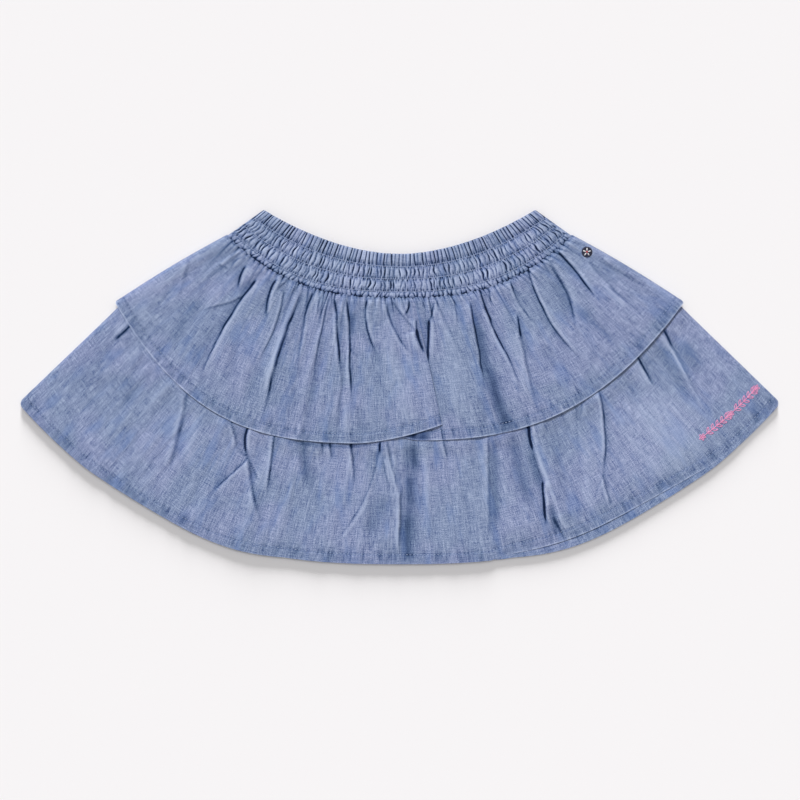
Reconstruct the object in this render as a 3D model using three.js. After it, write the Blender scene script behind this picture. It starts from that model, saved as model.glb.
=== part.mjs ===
// A girl's chambray skirt laid flat on its back: a shirred waistband, a yoke, a gathered upper tier
// over the yoke and a gathered lower tier sewn to its foot, each with a front and a back piece.
// Millimetres. +X is to the right of someone looking down at it, +Y to the waist, +Z up.
import * as THREE from 'three';

// Walls of cloth, and the gap between layers and across a seam
const CLOTH = 1.2;
const BAND_CLOTH = 2.4;
const GAP = 0.3;
const SEAM_GAP = 0.45;

// Edges that run across the skirt: y = middle + rise * |x / half| ^ power
const WAIST = { half: 108.4, middle: 106.4, rise: 35.2, power: 1.85 };
const BAND_SEAM = { half: 137.6, middle: 71.2, rise: 49.6, power: 2.75 };
const UPPER_HEM = { half: 227.4, middle: -44.0, rise: 112.2, power: 3.15 };
const YOKE_SEAM = { half: 194.0, middle: -32.0, rise: 108.0, power: 3.1 };
const LOWER_HEM = { half: 304.9, middle: -141.6, rise: 128.6, power: 2.65 };
// The lower hem hangs a little fuller near the middle and is drawn up towards its ends
const HEM_WAVE = { from: 92.0, to: 252.0, rise: 2.1 };

// The main fold overlaps at the upper hem and leaves a notch in it
const HEM_NOTCH = { x: -2.0, depth: 4.4, breadth: 12.0 };
// The front of the lower tier is a little short here, and the back's hem shows below it.
// Elsewhere the back's hem is the shorter one, but for the ends, where the side seams join them.
const SHORT_HEM = { from: 76.0, to: 272.0, rise: 8.0 };
const SHORT_BACK = { rise: 1.2, blend: 8.0, sideRun: 20.0 };

const UPPER_CORNER_RADIUS = 1.6;
const LOWER_CORNER_RADIUS = 5.0;
// How far the upper tier's gathers stand out past the ends of the band
const TIER_OVERHANG = 1.8;
// How far the yoke and the hidden top of the lower tier stay inside the upper tier's side seams
const YOKE_INSET = 3.8;
// Width along the edge in which the front comes down to the back at the side seam
const SIDE_RUN = { top: 3.2, foot: 2.2 };
// The lower tier steps down from the upper back to the table just outside the upper hem, and
// starts the step this far inside the upper tier's corners
const STEP = { start: 1.0, run: 9.0, inset: 2.1 };
// The upper hem stands clear of the lower tier
const HEM_LIFT = 1.0;

// Shirring: gathers across the band's front, and the stitched rows from waist to seam
const SMOCKING = { gathers: 60, rise: 1.2, stitchRise: 0.15, rows: [0, 0.285, 0.57, 0.85, 1] };
// Small gathers where a tier is sewn on, as high as this at the seam and gone after a run
const SEAM_GATHERS = { rise: 0.8, run: 9.0 };

// A fold is a ridge that rises over its breadth on one side and drops steeply on the other
const FOLD_DROP = 3.0;
const FOLD_LIMIT = 6.0;

// Folds of the upper tier: start, end, sideways bow, breadth, height, and the side that is high
// (-1 left, 1 right)
const UPPER_FOLDS = [
  // x0, y0, x1, y1, bow, breadth, height, side
  [-111.6, 88.0, -158.8, 8.8, -4.2, 13, 3.2, 1],
  [-98.8, 83.2, -104.4, 56.8, -3.2, 6, 2.0, 1],
  [-92.4, 83.2, -103.6, 40.0, 5.2, 8, 2.4, -1],
  [-76.4, 73.6, -106.8, -23.2, -5.2, 12, 3.6, -1],
  [-56.4, 71.2, -64.4, 34.4, 0.0, 7, 2.2, -1],
  [-51.6, 68.0, -46.0, 6.4, -1.3, 8, 2.6, -1],
  [-42.0, 68.8, -37.2, -12.0, 0.6, 9, 3.0, -1],
  [-26.0, 71.2, -17.2, 27.2, -3.1, 8, 2.4, 1],
  [-10.0, 66.4, 16.4, 20.8, -3.7, 8, 2.2, -1],
  [0.4, 62.0, 24.0, 20.0, 2.3, 7, 2.4, -1],
  [31.0, 69.0, 22.0, 24.8, -4.0, 7, 2.2, 1],
  [21.0, 36.0, 35.0, -52.0, 1.1, 16, 4.2, -1],
  [56.4, 68.8, 66.2, -10.0, 1.5, 11, 3.2, -1],
  [63.6, 76.0, 95.6, 4.0, 1.5, 9, 2.8, -1],
  [90.0, 83.2, 108.4, 52.0, -3.3, 7, 1.8, -1],
  [95.6, 60.0, 112.0, -14.0, -2.8, 10, 2.4, -1],
  [101.2, 92.8, 146.0, 26.4, -7.8, 11, 3.2, 1],
  [115.6, 101.6, 136.4, 68.0, 2.6, 8, 1.8, -1],
  [125.2, 109.6, 157.2, 62.0, 2.8, 9, 2.0, 1],
  [152.0, 97.0, 184.0, 72.0, -1.0, 9, 1.6, 1],
];

// Folds of the lower tier, in the same columns
const LOWER_FOLDS = [
  [-192.0, 22.0, -214.0, -12.0, 0.0, 12, 1.8, 1],
  [-170.0, 2.0, -186.0, -66.0, 5.4, 14, 2.2, -1],
  [-120.4, -26.0, -106.0, -113.6, -5.6, 11, 3.4, -1],
  [-119.0, -50.0, -156.0, -88.0, 1.0, 9, 2.2, 1],
  [-97.0, -30.0, -104.4, -86.0, 0.5, 8, 2.4, -1],
  [-74.0, -38.0, -74.8, -92.0, 3.1, 9, 2.6, 1],
  [-38.0, -40.0, -38.0, -90.0, 1.6, 9, 2.0, -1],
  [-12.0, -38.0, -56.0, -129.0, 7.3, 10, 2.8, 1],
  [3.0, -40.0, 2.0, -139.0, 7.0, 11, 4.0, -1],
  [38.0, -40.0, 46.0, -90.0, 0.0, 10, 1.8, 1],
  [72.4, -39.2, 73.2, -120.0, 0.0, 11, 2.4, -1],
  [101.0, -26.0, 117.2, -118.0, 2.0, 10, 3.6, -1],
  [127.6, -30.0, 138.8, -112.0, 2.0, 11, 2.6, -1],
  [158.0, 2.0, 170.0, -97.6, -3.9, 12, 2.6, 1],
  [188.0, 26.0, 208.0, 0.0, -2.3, 9, 1.6, 1],
  [208.0, 44.0, 246.0, -22.0, 1.7, 11, 2.4, 1],
];

// Grid of each panel: how many columns, and where its rows lie from its upper edge to its foot.
// The lower tier has rows close together where it steps down.
const UPPER_GRID = { columns: 84, shares: [0, 0.07, 0.15, 0.25, 0.36, 0.48, 0.6, 0.72, 0.83, 0.92, 1] };
const LOWER_FRONT_GRID = { columns: 88, shares: [0, 0.05, 0.1, 0.24, 0.4, 0.58, 0.78, 1] };
const LOWER_BACK_GRID = { columns: 44, shares: [0, 0.05, 0.1, 0.5, 1] };
const PLAIN_GRID = { columns: 44, shares: [0, 1] };

// Layers from the table up, inside the outline of the upper tier
const UPPER_BACK_Z = 0;
const YOKE_BACK_Z = UPPER_BACK_Z + CLOTH + GAP;
const YOKE_FRONT_Z = YOKE_BACK_Z + CLOTH + GAP;
const UPPER_FRONT_Z = YOKE_FRONT_Z + CLOTH + GAP;
// and outside it, where only the lower tier lies on the table
const LOWER_BACK_Z = 0;
const LOWER_FRONT_Z = LOWER_BACK_Z + CLOTH + GAP;

const CHAMBRAY = { color: 0x8a9cc4, roughness: 0.9, metalness: 0 };
const CHAMBRAY_SHADE = { color: 0x7384ad, roughness: 0.92, metalness: 0 };

const lerp = (a, b, t) => a + (b - a) * t;
const smooth = (from, to, value) => THREE.MathUtils.smoothstep(value, from, to);

function edgeY(edge, x) {
  return edge.middle + edge.rise * Math.abs(x / edge.half) ** edge.power;
}

function upperHemY(x) {
  const notch = HEM_NOTCH.depth * Math.exp(-(((x - HEM_NOTCH.x) / HEM_NOTCH.breadth) ** 2));
  return edgeY(UPPER_HEM, x) + notch;
}

function lowerHemY(x) {
  const share = (Math.abs(x) - HEM_WAVE.from) / (HEM_WAVE.to - HEM_WAVE.from);
  const wave = share > 0 && share < 1 ? -Math.sin(2 * Math.PI * share) : 0;
  return edgeY(LOWER_HEM, x) + HEM_WAVE.rise * wave;
}

function frontHemY(x) {
  const share = (x - SHORT_HEM.from) / (SHORT_HEM.to - SHORT_HEM.from);
  const inside = share > 0 && share < 1;
  return lowerHemY(x) + (inside ? SHORT_HEM.rise * Math.sin(Math.PI * share) ** 0.8 : 0);
}

function backHemY(x) {
  const { rise, blend, sideRun } = SHORT_BACK;
  const atSide = smooth(LOWER_HEM.half - sideRun, LOWER_HEM.half, Math.abs(x));
  const shown = smooth(SHORT_HEM.from - blend, SHORT_HEM.from + blend, x)
    * (1 - smooth(SHORT_HEM.to - blend, SHORT_HEM.to + blend, x));
  return lowerHemY(x) + rise * (1 - atSide) * (1 - shown);
}

// Distance below the upper hem, square to it: negative where the upper tier covers the point
function belowUpperHem(x, y) {
  const reach = Math.min(Math.abs(x), UPPER_HEM.half);
  const slope = (UPPER_HEM.rise * UPPER_HEM.power * (reach / UPPER_HEM.half) ** (UPPER_HEM.power - 1))
    / UPPER_HEM.half;
  return (upperHemY(x) - y) / Math.hypot(1, slope);
}

// Height of one fold at a point
function foldHeight([x0, y0, x1, y1, bow, breadth, height, side], x, y) {
  const length = Math.hypot(x1 - x0, y1 - y0);
  const along = ((x - x0) * (x1 - x0) + (y - y0) * (y1 - y0)) / length ** 2;
  if (along < -0.12 || along > 1.1) return 0;
  // the folds run down the page, so a positive distance lies on the right
  const fromChord = ((x - x0) * (y0 - y1) + (y - y0) * (x1 - x0)) / length;
  const highSide = side * (fromChord - bow * 4 * along * (1 - along));
  const rise = highSide > 0
    ? Math.exp(-((highSide / breadth) ** 2))
    : 1 - smooth(0, FOLD_DROP, -highSide);
  return height * rise * smooth(-0.12, 0.15, along) * (1 - smooth(0.6, 1.1, along));
}

function foldsHeight(folds, x, y) {
  const total = folds.reduce((sum, fold) => sum + foldHeight(fold, x, y), 0);
  return FOLD_LIMIT * Math.tanh(total / FOLD_LIMIT);
}

// Points near a corner are drawn in so that the corner becomes an arc of the given radius
function roundCorner(point, corner, alongSide, alongHem, radius) {
  const fromCorner = point.clone().sub(corner);
  const turn = alongSide.x * alongHem.y - alongSide.y * alongHem.x;
  const side = (fromCorner.x * alongHem.y - fromCorner.y * alongHem.x) / turn;
  const hem = (alongSide.x * fromCorner.y - alongSide.y * fromCorner.x) / turn;
  const a = radius - side;
  const b = radius - hem;
  if (a <= 0 || b <= 0) return point;
  const pull = Math.max(a, b) / Math.hypot(a, b);
  return corner.clone()
    .addScaledVector(alongSide, radius - a * pull)
    .addScaledVector(alongHem, radius - b * pull);
}

// The two lower corners of a panel, each with the directions of its side edge and its hem
function cornersOf(topHalf, topY, footHalf, hemY, radius) {
  return [-1, 1].map((hand) => {
    const corner = new THREE.Vector2(hand * footHalf, hemY(hand * footHalf));
    const sideTop = new THREE.Vector2(hand * topHalf, topY);
    const inHem = new THREE.Vector2(hand * (footHalf - 4), hemY(hand * (footHalf - 4)));
    return {
      corner,
      radius,
      alongSide: sideTop.sub(corner).normalize(),
      alongHem: inHem.sub(corner).normalize(),
    };
  });
}

function roundCorners(point, corners) {
  return corners.reduce(
    (p, c) => roundCorner(p, c.corner, c.alongSide, c.alongHem, c.radius),
    point,
  );
}

// Places of the columns across a row: the two outermost keep to the side seam
function columnPlaces(columns, half, sideRun) {
  const places = [-half];
  const inner = half - sideRun;
  for (let k = 0; k <= columns - 2; k += 1) places.push(lerp(-inner, inner, k / (columns - 2)));
  places.push(half);
  return places;
}

// A closed wall between two surfaces, each a list of rows from the waist down, with the points
// of a row from left to right
function wallBetween(topRows, underRows) {
  const positions = [];
  const index = [];
  const number = (rows) => rows.map((row) => row.map(([x, y, z]) => {
    positions.push(x, y, z);
    return positions.length / 3 - 1;
  }));
  const face = (rows, up) => {
    for (let r = 0; r + 1 < rows.length; r += 1) {
      for (let c = 0; c + 1 < rows[r].length; c += 1) {
        const [a, b, d, e] = [rows[r + 1][c], rows[r + 1][c + 1], rows[r][c + 1], rows[r][c]];
        index.push(...(up ? [a, b, d, a, d, e] : [a, d, b, a, e, d]));
      }
    }
  };
  // the edge between two outlines that run the same way, with the top surface on their left
  const edge = (upper, lower) => {
    let i = 0;
    let j = 0;
    while (i + 1 < upper.length || j + 1 < lower.length) {
      const lowerTurn = (j + 1) / (lower.length - 1) <= (i + 1) / (upper.length - 1);
      if (j + 1 < lower.length && (lowerTurn || i + 1 === upper.length)) {
        index.push(lower[j], lower[j + 1], upper[i]);
        j += 1;
      } else {
        index.push(lower[j], upper[i + 1], upper[i]);
        i += 1;
      }
    }
  };
  const top = number(topRows);
  const under = number(underRows);
  face(top, true);
  face(under, false);
  const outline = (rows) => [
    rows.at(-1),
    rows.map((row) => row.at(-1)).reverse(),
    [...rows[0]].reverse(),
    rows.map((row) => row[0]),
  ];
  const topEdges = outline(top);
  outline(under).forEach((lower, k) => edge(topEdges[k], lower));
  const geometry = new THREE.BufferGeometry();
  geometry.setAttribute('position', new THREE.Float32BufferAttribute(positions, 3));
  geometry.setIndex(index);
  geometry.computeVertexNormals();
  return geometry;
}

// A wall of even thickness that lies on a height given for each point of its rows
function clothWall(rows, thickness, underside) {
  const lift = (rise) => rows.map((row, r) => row.map(([x, y], c) => {
    return [x, y, underside(x, y, r, c) + rise];
  }));
  return wallBetween(lift(thickness), lift(0));
}

// Rows of a panel that runs straight from one edge to another
function panelRows({ top, topY, foot, footY, grid, run, corners = [] }) {
  return grid.shares.map((share) => {
    const sideRun = lerp(run.top, run.foot, share);
    const topX = columnPlaces(grid.columns, top, sideRun);
    const footX = columnPlaces(grid.columns, foot, sideRun);
    return topX.map((x, c) => {
      const across = lerp(x, footX[c], share);
      const down = lerp(topY(x), footY(footX[c]), share);
      return roundCorners(new THREE.Vector2(across, down), corners).toArray();
    });
  });
}

const seamY = (x) => edgeY(BAND_SEAM, x) - SEAM_GAP;
const TIER_TOP = BAND_SEAM.half + TIER_OVERHANG;
const upperCorners = cornersOf(
  TIER_TOP,
  seamY(TIER_TOP),
  UPPER_HEM.half,
  upperHemY,
  UPPER_CORNER_RADIUS,
);

function upperRows(grid) {
  return panelRows({
    top: TIER_TOP,
    topY: seamY,
    foot: UPPER_HEM.half,
    footY: upperHemY,
    grid,
    run: SIDE_RUN,
    corners: upperCorners,
  });
}

function upperFront() {
  const { columns, shares } = UPPER_GRID;
  const underside = (x, y, r, c) => {
    const v = shares[r];
    const atSide = c === 0 || c === columns;
    const sideDrop = atSide ? (UPPER_FRONT_Z - YOKE_BACK_Z) * (1 - smooth(0.75, 1, v)) : 0;
    const fromSeam = edgeY(BAND_SEAM, Math.min(Math.abs(x), BAND_SEAM.half)) - y;
    const gather = (c % 2) * SEAM_GATHERS.rise * Math.exp(-fromSeam / SEAM_GATHERS.run);
    const folds = atSide ? 0 : foldsHeight(UPPER_FOLDS, x, y) + gather;
    return UPPER_FRONT_Z - sideDrop + HEM_LIFT * smooth(0.7, 1, v) + folds;
  };
  return clothWall(upperRows(UPPER_GRID), CLOTH, underside);
}

function upperBack() {
  return clothWall(upperRows(PLAIN_GRID), CLOTH, () => UPPER_BACK_Z);
}

function yoke(underside) {
  const rows = panelRows({
    top: BAND_SEAM.half - YOKE_INSET,
    topY: seamY,
    foot: YOKE_SEAM.half,
    footY: (x) => edgeY(YOKE_SEAM, x),
    grid: PLAIN_GRID,
    run: SIDE_RUN,
  });
  return clothWall(rows, CLOTH, () => underside);
}

// The lower tier runs from the foot of the yoke to just outside the upper hem, then to its own hem
const OUTER_STEP = {
  half: UPPER_HEM.half - STEP.inset,
  y: (x) => upperHemY(x) - STEP.start * 1.2,
};
const lowerTopY = (x) => edgeY(YOKE_SEAM, x) - SEAM_GAP;

function lowerRows(grid, hemY) {
  const stepEnd = OUTER_STEP.y(OUTER_STEP.half);
  const hidden = panelRows({
    top: YOKE_SEAM.half,
    topY: lowerTopY,
    foot: OUTER_STEP.half,
    footY: OUTER_STEP.y,
    grid: { columns: grid.columns, shares: [0] },
    run: SIDE_RUN,
  });
  const shown = panelRows({
    top: OUTER_STEP.half,
    topY: OUTER_STEP.y,
    foot: LOWER_HEM.half,
    footY: hemY,
    grid,
    run: { top: SIDE_RUN.foot, foot: SIDE_RUN.foot },
    corners: cornersOf(OUTER_STEP.half, stepEnd, LOWER_HEM.half, hemY, LOWER_CORNER_RADIUS),
  });
  return [...hidden, ...shown];
}

// Height of a lower piece's underside: over the upper back inside, on the table outside
function stepDown(inside, outside, x, y) {
  return lerp(inside, outside, smooth(STEP.start + 0.5, STEP.start + STEP.run, belowUpperHem(x, y)));
}

function lowerFront() {
  const rows = lowerRows(LOWER_FRONT_GRID, frontHemY);
  const underside = (x, y, r, c) => {
    const atSide = c === 0 || c === LOWER_FRONT_GRID.columns;
    const shown = r > 1 && !atSide ? smooth(0, 12, belowUpperHem(x, y)) : 0;
    return stepDown(YOKE_FRONT_Z, LOWER_FRONT_Z, x, y) + shown * foldsHeight(LOWER_FOLDS, x, y);
  };
  return clothWall(rows, CLOTH, underside);
}

function lowerBack() {
  const rows = lowerRows(LOWER_BACK_GRID, backHemY);
  return clothWall(rows, CLOTH, (x, y) => stepDown(YOKE_BACK_Z, LOWER_BACK_Z, x, y));
}

// One row of points across the band, at a share of the way from the waist to the seam
function bandRow(columns, share, height) {
  const row = [];
  for (let c = 0; c <= columns; c += 1) {
    const u = lerp(-1, 1, c / columns);
    const x = lerp(u * WAIST.half, u * BAND_SEAM.half, share);
    const y = lerp(edgeY(WAIST, u * WAIST.half), edgeY(BAND_SEAM, u * BAND_SEAM.half), share);
    row.push([x, y, height(c)]);
  }
  return row;
}

// The front of the band: puffs between the stitched rows, each row half a gather out of step
function bandFront() {
  const columns = SMOCKING.gathers * 2;
  const under = BAND_CLOTH + GAP;
  const top = under + BAND_CLOTH;
  const rows = [];
  SMOCKING.rows.forEach((share, k) => {
    rows.push(bandRow(columns, share, () => top + SMOCKING.stitchRise));
    const next = SMOCKING.rows[k + 1];
    if (next === undefined) return;
    const puff = (c) => top + ((c + k) % 2) * SMOCKING.rise;
    rows.push(bandRow(columns, lerp(share, next, 0.5), puff));
  });
  const plain = [0, 1].map((share) => bandRow(columns, share, () => under));
  return wallBetween(rows, plain);
}

function bandBack() {
  const { columns, shares } = PLAIN_GRID;
  const rows = (height) => shares.map((share) => bandRow(columns, share, () => height));
  return wallBetween(rows(BAND_CLOTH), rows(0));
}

function piece(name, geometry, finish) {
  const mesh = new THREE.Mesh(geometry, new THREE.MeshStandardMaterial(finish));
  mesh.name = name;
  return mesh;
}

const skirt = new THREE.Group();
skirt.add(
  piece('waistband_front', bandFront(), CHAMBRAY),
  piece('waistband_back', bandBack(), CHAMBRAY),
  piece('upper_tier_front', upperFront(), CHAMBRAY),
  piece('upper_tier_back', upperBack(), CHAMBRAY),
  piece('yoke_front', yoke(YOKE_FRONT_Z), CHAMBRAY_SHADE),
  piece('yoke_back', yoke(YOKE_BACK_Z), CHAMBRAY_SHADE),
  piece('lower_tier_front', lowerFront(), CHAMBRAY),
  piece('lower_tier_back', lowerBack(), CHAMBRAY),
);

export default skirt;
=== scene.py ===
import math
from collections import namedtuple

import bpy
import numpy as np
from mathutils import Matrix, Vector
from mathutils.bvhtree import BVHTree


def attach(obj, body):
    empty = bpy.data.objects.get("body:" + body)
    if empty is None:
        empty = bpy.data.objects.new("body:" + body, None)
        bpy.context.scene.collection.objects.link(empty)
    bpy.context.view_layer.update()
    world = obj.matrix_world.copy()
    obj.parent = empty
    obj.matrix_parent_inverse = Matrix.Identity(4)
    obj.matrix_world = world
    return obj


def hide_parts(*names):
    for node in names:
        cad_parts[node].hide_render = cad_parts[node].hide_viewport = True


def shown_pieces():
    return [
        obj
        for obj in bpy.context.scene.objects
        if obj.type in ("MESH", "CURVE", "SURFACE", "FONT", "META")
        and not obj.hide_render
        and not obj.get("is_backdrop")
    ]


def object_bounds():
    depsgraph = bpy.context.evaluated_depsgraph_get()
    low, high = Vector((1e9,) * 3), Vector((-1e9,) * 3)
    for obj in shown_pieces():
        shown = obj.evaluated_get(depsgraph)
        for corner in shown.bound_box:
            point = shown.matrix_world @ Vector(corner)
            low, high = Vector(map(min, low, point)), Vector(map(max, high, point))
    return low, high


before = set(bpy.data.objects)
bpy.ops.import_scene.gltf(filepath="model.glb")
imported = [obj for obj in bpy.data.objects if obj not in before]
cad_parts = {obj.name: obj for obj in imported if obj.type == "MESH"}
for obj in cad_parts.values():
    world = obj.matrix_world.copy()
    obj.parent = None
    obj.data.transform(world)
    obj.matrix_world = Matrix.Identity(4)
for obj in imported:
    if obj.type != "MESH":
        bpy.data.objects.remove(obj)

# A girl's two-tier chambray skirt laid flat on its back. The sizes below are in millimetres, in
# the frame of the part: +X to the right, +Y to the waist, +Z up. Meshes are made in metres.
MM = 0.001
cad_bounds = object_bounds()

# Edges that run across the skirt: y = middle + rise * |x / half| ** power
Edge = namedtuple("Edge", "half middle rise power")
WAIST = Edge(108.4, 106.4, 35.2, 1.85)
BAND_SEAM = Edge(137.6, 71.2, 49.6, 2.75)
UPPER_HEM_LEFT = Edge(227.4, -45.2, 113.4, 3.5)
UPPER_HEM_RIGHT = Edge(227.4, -42.8, 111.0, 2.85)
YOKE_SEAM = Edge(194.0, -32.0, 108.0, 3.1)
LOWER_HEM = Edge(304.9, -141.6, 128.6, 2.65)

# The lower hem hangs a little fuller near the middle and is drawn up towards its ends
WAVE_FROM = 92.0
WAVE_TO = 252.0
WAVE_RISE = 2.1

# The front of the lower tier is a little short here, and the back's hem shows below it
SHORT_HEM_FROM = 74.0
SHORT_HEM_TO = 272.0
SHORT_HEM_RISE = 8.0
UPPER_CORNER_RADIUS = 1.6
LOWER_CORNER_RADIUS = 5.0

# The tiers start just past the band's ends, the upper one's sides bow out a little, and the
# lower one comes out a little inside the upper hem's ends
TIER_OVERHANG = 0.2
SIDE_BOW = 2.7
STEP_INSET = 2.1

# Cloth, hems, and how far in from its side a panel is rounded off
CLOTH = 0.5
BAND_CLOTH = 0.7
HEM_WIDTH = 7.5
HEM_RISE = 0.35
HEM_CURL = 0.9
SIDE_ROUND = 3.2

# Heights of the lower tier's back where it is sewn on, of the other layers' upper faces, and of
# the puffs on the band
LOWER_BACK_START = 1.5
YOKE_BACK_TOP = 2.2
YOKE_FRONT_TOP = 4.2
UPPER_FRONT_TOP = 5.7
LOWER_FRONT_TOP = 2.4
BAND_TOP = 4.7
BAND_RISE = 1.5

# The main fold of the upper tier. Its edge runs from the seam to the hem, at these places
# across, and overlaps the cloth on its right from FOLD_OPENS_Y down. The hem lifts towards the
# fold's mouth, and is tucked up a little where it comes out from under it.
FOLD_EDGE_TOP = 11.6
FOLD_EDGE_FOOT = 34.0
FOLD_OPENS_Y = 26.0
FOLD_DEPTH = 36.0
FOLD_RISE = 1.5
FOLD_MOUTH_FROM = -38.0
FOLD_MOUTH_RISE = 15.0
FOLD_TUCK = 3.6
FOLD_COLUMNS = 10

# What each piece was cut to, in metres and square metres. The tiers and yokes are cut in a
# shallow curve, and some of the band is drawn into its stitched lines, so the areas are less
# than width by depth.
Cut = namedtuple("Cut", "width depth area")

# A crease follows a line with a sideways bow and an S-shaped sway. The cloth on its high side
# (-1 left, 1 right) stands up beside the line and sinks again over the breadth. Wide is the
# width of the step between the two sides, and dark how strongly painted shade darkens the step
# and the hollow beside it and a painted highlight lightens the lip.
Crease = namedtuple("Crease", "x0 y0 x1 y1 bow sway breadth height side wide dark")
UPPER_CREASES = [Crease(*row) for row in [
    (-114.8, 84.8, -160.0, 5.6, -3.8, 0.0, 14, 1.2, 1, 1.5, 0.86),
    (-125.2, 72.0, -159.6, 60.0, 0.8, 0.8, 6, 0.7, -1, 1.1, 0.42),
    (-126.8, 103.2, -134.8, 94.4, -1.5, 0.0, 3, 0.8, 1, 1.2, 0.62),
    (-144.4, 97.6, -136.4, 93.6, 0.4, 0.0, 3, 0.5, 1, 1.0, 0.40),
    (-122.8, 96.8, -130.0, 76.8, -1.0, 0.0, 4, 1.1, 1, 1.6, 0.95),
    (-98.8, 85.6, -106.0, 53.0, -2.8, 0.0, 5, 1.7, 1, 2.3, 1.25),
    (-92.4, 77.6, -114.8, 17.6, 4.4, 0.0, 6, 0.9, -1, 1.1, 0.46),
    (-90.0, 84.0, -97.2, 73.6, -1.5, 0.0, 3, 0.6, -1, 1.0, 0.42),
    (-78.0, 74.0, -108.8, -30.0, -3.8, 0.0, 10, 1.1, -1, 2.6, 0.72),
    (-69.2, 76.0, -81.2, 16.8, -2.3, 0.0, 5, 1.1, 1, 1.9, 0.72),
    (-63.6, 72.8, -66.0, 55.2, 0.0, 0.0, 4, 0.7, -1, 1.0, 0.48),
    (-56.4, 71.2, -68.4, 5.6, -0.8, 0.5, 6, 0.9, -1, 1.2, 0.52),
    (-51.4, 69.4, -45.2, 7.0, -0.6, 0.5, 6, 1.3, -1, 1.7, 0.88),
    (-45.2, 9.2, -50.0, -34.4, 0.6, 0.0, 6, 0.7, -1, 2.8, 0.30),
    (-42.0, 69.4, -37.4, -18.0, 0.3, 0.7, 7, 1.4, -1, 1.5, 0.80),
    (-39.6, 16.0, -36.8, -15.0, 0.0, 0.0, 3, 0.0, -1, 1.2, 0.34),
    (-39.6, 30.4, -31.6, 22.4, 0.0, 0.0, 3, 0.3, -1, 1.0, 0.36),
    (-26.2, 69.4, -17.4, 24.0, -4.2, 0.0, 6, 1.2, 1, 1.5, 0.80),
    (-9.8, 68.0, 10.8, 25.6, -4.2, 0.0, 6, 1.1, -1, 1.3, 0.66),
    (-5.6, 69.0, 13.6, 44.0, -1.4, 0.0, 4, 0.7, 1, 1.1, 0.64),
    (7.6, 69.4, 3.8, 56.6, 1.8, 0.0, 3, 0.8, -1, 1.4, 0.90),
    (13.6, 53.6, 14.4, 41.0, 0.0, 0.0, 4, 0.8, -1, 1.3, 0.60),
    (14.0, 45.6, 20.8, 27.0, -0.6, 0.0, 5, 1.5, -1, 3.0, 1.20),
    (27.6, 67.4, 23.6, 52.0, 0.4, 0.0, 4, 0.9, 1, 1.2, 0.60),
    (23.4, 53.6, 22.6, 18.0, -0.3, 0.0, 5, 1.5, 1, 2.4, 1.20),
    (18.8, 68.6, 21.4, 46.0, 0.6, 0.0, 3, 0.4, 1, 1.0, 0.42),
    (30.8, 69.0, 30.8, 57.4, 0.0, 0.0, 3, 0.5, 1, 0.9, 0.38),
    (43.6, 69.2, 46.0, 48.0, 0.5, 0.0, 5, 0.6, -1, 1.0, 0.24),
    (56.4, 68.0, 68.4, -1.0, 0.2, 0.0, 10, 1.5, -1, 1.3, 0.50),
    (63.6, 78.0, 97.0, -1.0, -0.8, -0.8, 7, 1.3, -1, 1.5, 0.86),
    (67.4, 64.8, 75.0, 50.4, 0.0, 0.0, 4, 0.3, -1, 2.2, 0.45),
    (70.8, 78.8, 73.2, 65.4, 0.0, 0.0, 3, 0.8, 1, 1.1, 0.62),
    (88.8, 85.6, 108.8, 49.6, -3.0, 0.0, 5, 0.8, -1, 1.3, 0.62),
    (94.2, 58.4, 97.4, 38.4, 0.0, 0.0, 5, 0.6, -1, 1.8, 0.66),
    (96.2, 45.0, 110.8, -18.0, -0.8, 0.5, 7, 0.9, -1, 2.4, 0.42),
    (102.0, 97.2, 149.2, 19.0, -8.0, 0.0, 8, 1.4, 1, 1.3, 0.68),
    (118.8, 98.0, 139.6, 43.6, 5.0, 0.0, 7, 1.2, 1, 2.8, 0.50),
    (112.4, 101.0, 120.8, 89.0, 0.0, 0.0, 4, 0.6, 1, 1.4, 0.32),
    (125.2, 109.0, 157.4, 67.2, 1.9, 0.0, 7, 1.2, 1, 1.5, 0.75),
    (150.8, 101.6, 200.4, 53.6, -3.0, 0.0, 8, 0.9, -1, 2.6, 0.26),
    (160.4, 100.0, 202.0, 76.8, -0.8, 0.0, 7, 0.7, 1, 3.0, 0.24),
    (-168.4, 100.0, -176.4, 69.6, 0.8, 0.0, 7, 0.6, -1, 2.0, 0.28),
]]
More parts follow.
